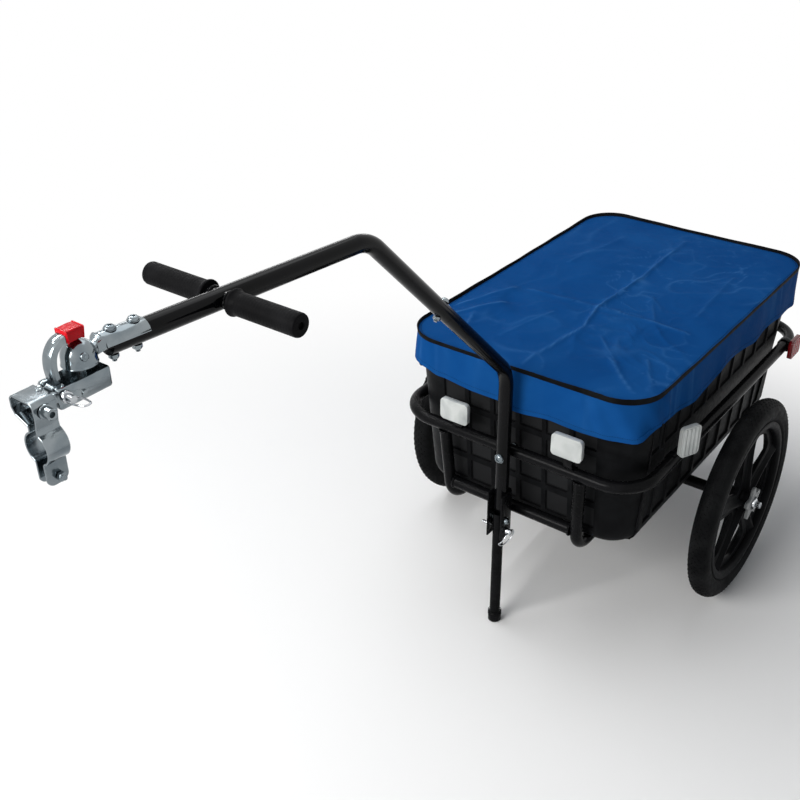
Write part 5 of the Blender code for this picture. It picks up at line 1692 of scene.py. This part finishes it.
    @staticmethod
    def window(middle: float) -> Outline:
        """Returns a rounded window between two spokes."""
        corners = []
        for radius, spread in ((0.129, (-24.5, 24.5)), (0.044, (13.5, -13.5))):
            for offset in spread:
                angle = math.radians(middle + offset)
                corners.append(Vector((radius * math.cos(angle), radius * math.sin(angle), 0)))
        outward = math.radians(middle)
        bulge = Vector((math.cos(outward), math.sin(outward), 0)) * 0.135
        loop = [corners[3], corners[0], bulge, corners[1], corners[2]]
        closed = [loop[-1], *loop, loop[0]]
        out = []
        for i, radius in enumerate((0.01, 0.016, 0.03, 0.016, 0.01)):
            out += filleted(closed[i : i + 3], radius, 6)[1:-1]
        return [(p.x, p.y) for p in out]

    def ridges(self) -> Mesh:
        """Returns the raised ridges on both faces of the spokes."""
        stations = (
            (0.014, 0.0085, 0.0165), (0.035, 0.0088, 0.015), (0.07, 0.0098, 0.0126),
            (0.11, 0.0124, 0.011), (0.135, 0.0165, 0.0112),
            (self.rim_inner + 0.0012, 0.023, 0.0118),
        )
        rings = []
        for radius, wide, high in stations:
            shoulder = 0.0026 + (high - 0.0026) * 0.42
            upper = [(wide, 0.0026), (wide * 0.45, shoulder), (0.0019, high - 0.0003), (0.0007, high)]
            upper += [(-u, v) for u, v in reversed(upper)]
            lower = [(u, -v) for u, v in reversed(upper)]
            rings.append([(u, v, radius) for u, v in upper + lower])
        return repeated(loft(rings), self.spokes, 0.0, "black_plastic")

    def hub(self) -> Mesh:
        """Returns the hub's shell with a flange at each end."""
        half, r = self.hub_half, self.hub_radius
        side = [(0.0065, half), (r - 0.003, half), (r - 0.0008, half - 0.0008)]
        side += [(r, half - 0.003), (r + 0.0008, half - 0.01), (r + 0.005, 0.006)]
        profile = side + [(a, -h) for a, h in reversed(side)]
        return turned(profile, ACROSS, ORIGIN, 48, closed=True)

    def star(self) -> Mesh:
        """Returns the five-armed cap over the hub."""
        star = []
        step = 360 / self.spokes
        for k in range(self.spokes):
            angle = step * k + 90
            star += arc((0, 0), 0.033, angle - 9, angle + 9, 4)
            star += arc((0, 0), 0.0205, angle + step / 2 - 8, angle + step / 2 + 8, 3)
        hole = arc((0, 0), 0.0138, 0, 350, 35)
        lay = Matrix.Translation((0, self.hub_half + 0.0031, 0)) @ Matrix.Rotation(math.radians(90), 4, "X")
        body = plate([star, hole], 0.0056, lay, 0.0012)
        low, high = self.hub_half + 0.0059, self.hub_half + 0.0072
        boss = [(0.0138, low), (0.0168, low), (0.016, high), (0.0142, high)]
        return joined((body, turned(boss, ACROSS, ORIGIN, 40, closed=True)))

    def axle_nut(self) -> None:
        """Makes the flanged nut and the threaded axle end."""
        way = (0, self.side, 0)
        seat = (0, self.side * (self.y + self.hub_half + 0.0004), self.z)
        profile = [(0, 0), (0.0125, 0), (0.0125, 0.0009), (0.0118, 0.0018), (0, 0.0018)]
        parts = [nut(0.0187, 0.0112, 0.0), turned(profile, UP, ORIGIN, 40)]
        parts = [moved(part, axis_matrix(way, seat)) for part in parts]
        parts.append(turned(threaded(0.006, 0.0206), way, seat, 32))
        name = f"{self.name}_axle_nut"
        settle(f"{name}_and_thread", joined(parts), "chrome", "frame", [name])


@dataclass(frozen=True)
class Stand:
    """The folding leg, its bracket, and the lynch pin."""

    leg_x: float = 0.371
    pivot_z: float = 0.24
    pin_z: float = 0.219
    cheek: float = 0.0153
    pivot: Bolt = Bolt((0.0068, 0.006), (0.012, 0.0052, 0.0038), (0.0037, 0.0076), 24)
    ring_eye_y: float = 0.024

    def build(self) -> None:
        """Makes the stand."""
        plates = refined("leg_bracket", 0.0007)
        settle("bracket_plates", plates, "black_satin", "frame", ["leg_bracket"], shifted=False)
        leg = refined("stand_leg", 0.0004, 2, 35)
        settle("leg_tube", leg, "black_satin", "stand_leg", ["stand_leg"], shifted=False)
        foot_bands = joined(self.band(z) for z in (0.026, 0.03, 0.034))
        settle("leg_foot_bands", foot_bands, "rubber", "stand_leg")
        near = (self.leg_x, self.cheek, self.pivot_z)
        far = (self.leg_x, -self.cheek, self.pivot_z)
        parts = [*self.pivot.ends(ACROSS, near, far), tube([far, near], 0.0038, 16)]
        settle("pivot_bolt_ends", joined(parts), "zinc", "frame", ["leg_pivot_bolt"])
        self.lynch_pin()

    def lynch_pin(self) -> None:
        """Makes the pin that locks the leg, and its wire ring."""
        pin = [
            (0, 0.0292), (0.004, 0.029), (0.0052, 0.0284), (0.006, 0.0272), (0.006, 0.0166),
            (0.0054, 0.0158), (0.0031, 0.0158), (0.003, 0.0), (0.003, -0.028),
            (0.0025, -0.0286), (0.0025, -0.03), (0.003, -0.0306), (0.003, -0.033),
            (0.0018, -0.0345), (0, -0.0345),
        ]
        mesh = turned(pin, ACROSS, (self.leg_x, 0, self.pin_z), 36)
        settle("lynch_pin_body", mesh, "chrome", "lynch_pin", ["lynch_pin"])
        loop = [(-0.0085, 0, 0), (0.0085, 0, 0), (0.014, 0, -0.004), (0.018, -0.003, -0.012)]
        loop += [(0.0207, -0.0088, -0.0191), (0.012, -0.0085, -0.027), (-0.002, -0.006, -0.028)]
        loop += [(-0.0125, -0.002, -0.019), (-0.0152, 0, -0.009)]
        eye = Vector((self.leg_x, self.ring_eye_y, self.pin_z))
        path = smoothed([eye + Vector(p) for p in loop], 8, True)
        wire = tube(path, 0.0012, 14, cyclic=True, finish="chrome")
        settle("lynch_ring_wire", wire, "chrome", "lynch_ring", ["lynch_ring"])

    def band(self, z: float) -> Mesh:
        """Returns a thin raised ring round the foot."""
        ring = [(self.leg_x + x, y, z - 0.012) for x, y in arc((0, 0), 0.0124, 0, 352, 44)]
        return tube(ring, 0.0005, 8, cyclic=True, finish="rubber")


@dataclass(frozen=True)
class Hitch:
    """The ball coupler, the safety hook and the seat post clamp."""

    ball: Triple = (1.171, 0.0, 0.9235)
    ball_radius: float = 0.0127
    dome_radius: float = 0.018
    sheet: float = 0.002
    hook_pin: Pair = (0.0355, -0.0235)
    loop: Pair = (0.0115, -0.068)
    loop_radius: float = 0.0175
    clamp_middle: float = 0.06
    clamp_width: float = 0.026
    clamp_top: float = 0.0511
    tab_end: float = -0.1115
    tab_half: float = 0.006
    tab_round: float = 0.0085
    chamfer: float = 0.0004
    liner_gap: float = 0.0007
    liner_wall: float = 0.0014
    rivet_way: Triple = (0.28, 0.92, 0.26)
    neck: tuple[tuple[float, ...], ...] = (
        (0.007, 0.013, 0.0138, -0.001),
        (0.0102, 0.0114, 0.0124, -0.003),
        (0.0128, 0.0088, 0.0098, -0.0046),
        (0.0152, 0.0079, 0.0085, -0.0055),
        (0.0182, 0.009, 0.0087, -0.0064),
        (0.0215, 0.01, 0.008, -0.0075),
    )
    saddle_bolt: Bolt = Bolt((0.0064, 0.0046), (0.01, 0.005, 0.0026), (0.0026, 0.0086))
    tab_bolt: Bolt = Bolt((0.0052, 0.004), (0.0092, 0.0052, 0.0026), (0.0026, 0.0085))

    def at(self, x: float, y: float, z: float) -> Vector:
        """Returns a place given from the ball's centre."""
        return Vector(self.ball) + Vector((x, y, z))

    def build(self) -> None:
        """Makes the hitch."""
        self.coupler()
        self.saddle_bolts()
        self.socket()
        plates = refined("hitch_channel", 0.0006)
        settle("channel_plates", plates, "zinc", "hitch", ["hitch_channel"], shifted=False)
        self.clamp()
        self.fixings()
        self.hook()
        self.quick_pin()

    def clamp(self) -> None:
        """Makes the strip that bends into the mouth, the seat post's loop and two round tabs."""
        y, z = self.loop
        tab, end, top, chamfer = self.tab_half, self.tab_end, z + self.clamp_top, self.chamfer
        half, thick = self.clamp_width / 2, self.sheet / 2
        left = [(y - tab, end), *arc((y, z), self.loop_radius, 250, 112, 23), (y - tab, z + 0.0235)]
        mouth = [(-0.012, z + 0.0305), (-0.0165, z + 0.0375), (-0.0165, z + 0.0475), (-0.013, top)]
        mouth += [(0.015, top), (0.019, z + 0.0475), (0.0195, z + 0.0345)]
        right = [(y + tab, z + 0.0235), *arc((y, z), self.loop_radius, 68, -70, 23), (y + tab, end)]
        line = filleted(left + mouth + right, 0.0028, 4)
        steps = [self.tab_round * (1 - math.cos(math.radians(a))) for a in range(12, 90, 13)]
        starts = [line[0] + Vector((0, step)) for step in steps]
        ends = [line[-1] + Vector((0, step)) for step in reversed(steps)]
        line = [line[0], *starts, *line[1:-1], *ends, line[-1]]
        rings = []
        for i, spot in enumerate(line):
            way = (line[min(i + 1, len(line) - 1)] - line[max(i - 1, 0)]).normalized()
            near = min(max((spot.y - end) / self.tab_round, 0.0), 1.0)
            wide = half - self.tab_round * (1 - math.sqrt(1 - (1 - near) ** 2))
            section = [(-thick, chamfer - wide), (chamfer - thick, -wide), (thick - chamfer, -wide)]
            section.append((thick, chamfer - wide))
            section += [(-v, -u) for v, u in section]
            ring = [(self.clamp_middle + u, spot.x - way.y * v, spot.y + way.x * v) for v, u in section]
            rings.append([self.at(*place) for place in ring])
        head = Matrix.Translation(self.at(0.05, 0, top + thick))
        parts = (loft(rings), moved(domed_head(0.004, 0.0018), head))
        settle("clamp_strip", joined(parts), "zinc", "hitch", ["seat_post_clamp"], 40)

    def coupler(self) -> None:
        """Makes the saddle over the tow bar's end, the neck, and the domed socket."""
        rivet = [(0, 0.003), (0.0026, 0.0029), (0.004, 0.002), (0.0046, 0.0006)]
        rivet += [(0.0046, -0.003), (0, -0.003)]
        pip = [(0, 0.0012), (0.0016, 0.0008), (0.0018, -0.001), (0, -0.001)]
        parts = [self.saddle(), self.neck_body(), self.dome()]
        parts.append(turned(rivet, self.rivet_way, self.at(0.0045, 0.016, 0.0048), 32))
        parts.append(turned(pip, self.rivet_way, self.at(0.0053, 0.0188, 0.0056), 20))
        settle("coupler_shell", joined(parts), "zinc", "frame", ["coupler_head"])

    def saddle(self) -> Mesh:
        """Returns the bent sheet over the tow bar's end."""
        bend = TOW_RADIUS + 0.0003 + self.sheet / 2
        outline = strip_outline(arc((0, 0), bend, 11, 169, 28), self.sheet)
        slope = Vector((1, 0, TOW_SLOPE)).normalized()
        up = slope.cross(Vector(ACROSS))
        turn = Matrix(((0, up.x, slope.x, 0), (1, up.y, slope.y, 0), (0, up.z, slope.z, 0), (0, 0, 0, 1)))
        x = TOW_END - 0.019
        return plate([outline], 0.056, Matrix.Translation((x, 0, tow_z(x))) @ turn, 0.0005)

    def neck_body(self) -> Mesh:
        """Returns the waisted body between the saddle and the dome."""
        rings = []
        for x, half, high, low in self.neck:
            x += TOW_END
            ring = []
            for k in range(20):
                angle = math.tau * k / 20
                y, z = math.cos(angle), math.sin(angle)
                y = math.copysign(abs(y) ** 0.6, y) * half
                z = (high + low) / 2 + math.copysign(abs(z) ** 0.6, z) * (high - low) / 2
                ring.append((x, y, tow_z(x) + z))
            rings.append(ring)
        return loft(rings)

    def dome(self) -> Mesh:
        """Returns the domed shell that holds the liner."""
        radius = self.dome_radius
        inside = self.ball_radius + self.liner_gap + self.liner_wall + 0.0004
        profile = [(0.0, radius), *bowl(radius, range(6, 91, 6)), (radius + 0.0004, -0.007)]
        profile += [(radius + 0.001, -0.008), (radius, -0.0086), (inside + 0.0004, -0.0086)]
        profile += [(inside, -0.006), *bowl(inside, range(90, 0, -10)), (0.0, inside)]
        return turned(profile, UP, self.ball, 64)

    def saddle_bolts(self) -> None:
        """Makes the two bolts through the saddle and the tow bar."""
        for offset, name in ((-0.0375, "rear"), (-0.007, "front")):
            x = TOW_END + offset
            z = tow_z(x)
            top = (x, 0, z + TOW_RADIUS + self.sheet + 0.0002)
            under = (x, 0, z - TOW_RADIUS - 0.0006)
            parts = joined(self.saddle_bolt.ends(UP, top, under))
            settle(f"{name}_saddle_bolt_ends", parts, "zinc", "frame", [f"{name}_saddle_bolt"])

    def socket(self) -> None:
        """Makes the nylon liner and the ball."""
        inside = self.ball_radius + self.liner_gap
        profile = bowl(inside + self.liner_wall, range(2, 122, 8)) + bowl(inside, range(114, 0, -8))
        cup = turned(profile, UP, self.ball, 48, closed=True)
        settle("liner_cup", cup, "teal_nylon", "socket_liner", ["socket_liner"])
        radius = self.ball_radius
        sphere = [(0.0, radius), *bowl(radius, range(6, 175, 6)), (0.0, -radius)]
        settle("ball_sphere", turned(sphere, UP, self.ball, 48), "chrome", "hitch_ball", ["hitch_ball"])

    def fixings(self) -> None:
        """Makes the socket bolt, the tab bolt and their nuts on the clamp side."""
        back = (0, -1, 0)
        head = [(0, 0.0052), (0.003, 0.0052), (0.0032, 0.0108), (0.0052, 0.011), (0.006, 0.0102)]
        head += [(0.006, 0.002), (0.0078, 0.0018), (0.008, 0.0), (0, 0)]
        near, far = self.at(0.061, 0.0213, -0.0275), self.at(0.061, -0.0183, -0.0275)
        parts = [moved(turned(head, UP, ORIGIN, 36), axis_matrix(ACROSS, near))]
        parts.append(tube([far, near], 0.003, 20, finish="zinc"))
        parts.append(moved(nut(0.01, 0.0044, 0.003), axis_matrix(back, far)))
        parts.append(turned(threaded(0.003, 0.0072), back, far, 20))
        settle("socket_bolt_and_nut", joined(parts), "zinc", "hitch", ["clamp_socket_bolt"])
        near, far = self.at(0.058, 0.0192, -0.1035), self.at(0.058, 0.0038, -0.1035)
        parts = [*self.tab_bolt.ends(back, far, near), tube([far, near], 0.0025, 16, finish="zinc")]
        settle("tab_bolt_and_nut", joined(parts), "zinc", "hitch", ["clamp_tab_bolt"])

    def hook(self) -> None:
        """Makes the channel-shaped safety hook and the red sleeve on its tip."""
        line = [(0.0336, -0.027), (0.0326, -0.0155), (0.0337, 0.0005), (0.0312, 0.0135)]
        line += [(0.0235, 0.0227), (0.013, 0.026), (0.0035, 0.0255)]
        path = smoothed([self.at(x, 0, z) for x, z in line], 8)
        wide, deep, wall = 0.007, 0.00375, 0.0019
        section = [(-deep, wide), (-deep, wide - wall), (deep - wall - 0.0004, wide - wall)]
        section.append((deep - wall, wide - wall - 0.0008))
        section += [(v, -u) for v, u in reversed(section)]
        outer = [(deep - 0.0016, -wide), (deep - 0.0004, -wide + 0.0006), (deep, -wide + 0.0018)]
        section += outer + [(v, -u) for v, u in reversed(outer)]
        strip = loft([ring_on_path(path, i, section) for i in range(len(path))])
        side = [(0.0033, 0.007), (0.0056, 0.007), (0.0062, 0.0064)]
        profile = side + [(r, -h) for r, h in reversed(side)]
        x, z = self.hook_pin
        eye = turned(profile, ACROSS, self.at(x, 0, z), 36, closed=True)
        settle("hook_strip", joined((strip, eye)), "zinc", "safety_hook", ["safety_hook"])
        self.sleeve()

    def sleeve(self) -> None:
        """Makes the red cap over the hook's tip, with a lip at each end."""
        line = ((0.015, 0.0267), (0.008, 0.0271), (0.001, 0.0272), (-0.0055, 0.0265))
        tip = smoothed([self.at(x, 0, z) for x, z in line], 5)
        last = len(tip) - 1
        cap = [(-0.0062, 0.008), (-0.0052, 0.009), (0.0052, 0.009), (0.0062, 0.008)]
        cap += [(-v, -u) for v, u in cap]
        rings = [ring_on_path(tip, i, cap, 0.78 if i in (0, last) else 1.0) for i in range(len(tip))]
        lips = [ring_on_path(tip, i, cap, 1.02) for i in (1, last - 1)]
        parts = [softened(loft(rings), 0.0008, 3, 30)]
        parts += [tube(lip, 0.0006, 8, cyclic=True, finish="red_sleeve") for lip in lips]
        settle("sleeve_cap", joined(parts), "red_sleeve", "safety_hook", ["hook_sleeve"])

    def quick_pin(self) -> None:
        """Makes the hook's pivot pin and its wire loop."""
        x, z = self.hook_pin
        pin = [
            (0, 0.033), (0.0038, 0.0329), (0.0046, 0.032), (0.0046, 0.024), (0.006, 0.0238),
            (0.0065, 0.023), (0.0065, 0.0196), (0.006, 0.0188), (0.003, 0.0186),
            (0.003, -0.0196), (0.002, -0.0215), (0, -0.0215),
        ]
        mesh = turned(pin, ACROSS, self.at(x, 0, z), 36)
        settle("quick_pin_body", mesh, "chrome", "quick_pin", ["quick_pin"])
        half = [(0.005, 0.03), (0.0064, 0.033), (0.0066, 0.04), (0.0052, 0.05), (0.0026, 0.0545)]
        ring = half + [(-a, b) for a, b in reversed(half)]
        loop = [self.at(x + a, b, z + 0.12 * (b - 0.03)) for a, b in ring]
        wire = tube(smoothed(loop, 6, True), 0.0011, 12, cyclic=True, finish="chrome")
        settle("quick_pin_loop", wire, "chrome", "quick_pin_ring", ["quick_pin_ring"])


def strip_outline(path: Outline, thickness: float) -> Outline:
    """Returns the closed outline of a strip that follows a path."""
    left, right = [], []
    for i, at in enumerate(path):
        here = Vector(at)
        before, after = Vector(path[max(i - 1, 0)]), Vector(path[min(i + 1, len(path) - 1)])
        way = (after - before).normalized()
        normal = Vector((-way.y, way.x))
        left.append(tuple(here + normal * thickness / 2))
        right.append(tuple(here - normal * thickness / 2))
    return left + right[::-1]


def ring_on_path(
    path: Sequence[Vector], index: int, section: Outline, scale: float = 1.0
) -> list[Vector]:
    """Returns a section set across a path in the XZ plane.

    Args:
        path: The path's points.
        index: The point at which the section stands.
        section: Pairs of a distance outwards and a distance along Y.
        scale: A factor for the whole section.

    Returns:
        The section's points.
    """
    before, after = path[max(index - 1, 0)], path[min(index + 1, len(path) - 1)]
    way = (after - before).normalized()
    out = Vector(ACROSS).cross(way).normalized()
    return [path[index] + out * v * scale + Vector((0, u * scale, 0)) for v, u in section]


@dataclass(frozen=True)
class Reflectors:
    """The six lenses on strap brackets round the frame ring."""

    corner: float = 0.0075
    lip: float = 0.0028
    lip_rise: float = 0.0011
    bars: int = 4
    bar_rise: float = 0.0019

    def build(self) -> None:
        """Makes the lenses, their ribs and their brackets."""
        for place in ("left_front", "right_front", "left_side", "right_side", "left_rear", "right_rear"):
            finish = "red_lens" if place.endswith("rear") else "white_lens"
            lens = self.lens(f"{place}_reflector", finish)
            settle(f"{place}_lens", lens, finish, "frame", [f"{place}_reflector"], shifted=False)
            strap = refined(f"{place}_reflector_bracket", 0.0004, 2, 40)
            node = f"{place}_reflector_bracket"
            settle(f"{place}_strap", strap, "black_satin", "frame", [node], shifted=False)

    def lens(self, node: str, finish: str) -> Mesh:
        """Returns a lens block with a raised lip and upright bars, in the place of a CAD lens."""
        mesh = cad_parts[node].data
        points = [v.co for v in mesh.vertices]
        rough = sum(points, Vector()) / len(points)
        outward = Vector((rough.x, rough.y, 0.0))
        faces = [p for p in mesh.polygons if p.normal.dot(outward) > 0 and abs(p.normal.z) < 0.3]
        normal = max(faces, key=lambda p: p.area).normal.copy()
        side = Vector(UP).cross(normal).normalized()
        up = normal.cross(side)
        axes = (side, up, normal)
        spans = [sorted(p.dot(axis) for p in points) for axis in axes]
        wide, tall, deep = ((span[-1] - span[0]) / 2 for span in spans)
        middle = sum((axis * (span[0] + span[-1]) / 2 for axis, span in zip(axes, spans)), Vector())
        lip, rise = self.lip, self.lip_rise
        outer = rounded_rectangle(wide, -wide, tall, self.corner, 6)
        inner = rounded_rectangle(wide - lip, lip - wide, tall - lip, self.corner - lip, 6)
        body = plate([outer], deep * 2 - rise, Matrix.Translation((0, 0, -rise / 2)), 0.001)
        rim = plate([outer, inner], rise * 2, Matrix.Translation((0, 0, deep - rise)), 0.0004)
        pitch = (wide - lip) * 2 / self.bars
        unit = self.bar(pitch / 2 - 0.0002, tall - lip - 0.0004)
        first = pitch / 2 + lip - wide
        row = along([(first, 0, 0), (-first, 0, 0)], unit, pitch * (self.bars - 1) / self.bars, finish)
        moved(row, Matrix.Translation((0, 0, deep - rise)))
        lay = Matrix(axes).transposed().to_4x4()
        return moved(joined((body, rim, row)), Matrix.Translation(middle) @ lay)

    def bar(self, half: float, reach: float) -> Mesh:
        """Returns one convex upright bar of a lens."""
        rings = []
        for y in (-reach, reach):
            ring = [(half * k / 5, y, self.bar_rise * (1 - (k / 5) ** 2)) for k in range(-5, 6)]
            rings.append([*ring, (half, y, -0.0005), (-half, y, -0.0005)])
        return loft(rings)


def dress_kept_nodes() -> None:
    """Gives every CAD node that stays in view its finish."""
    for name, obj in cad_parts.items():
        slot = obj.data.materials[0].name if obj.data.materials else "black_satin"
        finish = FINISHES.get(slot.split(".")[0])
        if finish is None:
            LOG.warning("no finish for %s (%s)", name, slot)
            continue
        for entry in obj.material_slots:
            entry.material = finish.material()


def main() -> None:
    """Builds the trailer's looks piece by piece."""
    logging.basicConfig(level=logging.INFO, format="%(name)s %(message)s")
    steps: list[tuple[str, Callable[[], None]]] = [
        ("studio", Studio().build),
        ("kept nodes", dress_kept_nodes),
        ("frame", TubeFrame().build),
        ("tow bar", TowBar().build),
        ("tub", Tub().build),
        ("left wheel", Wheel(LEFT, "left").build),
        ("right wheel", Wheel(RIGHT, "right").build),
        ("stand", Stand().build),
        ("hitch", Hitch().build),
        ("reflectors", Reflectors().build),
        ("cover", Cover().build),
    ]
    for name, step in steps:
        LOG.info("building the %s", name)
        step()
    bpy.context.view_layer.update()


if __name__ == "__main__":
    main()
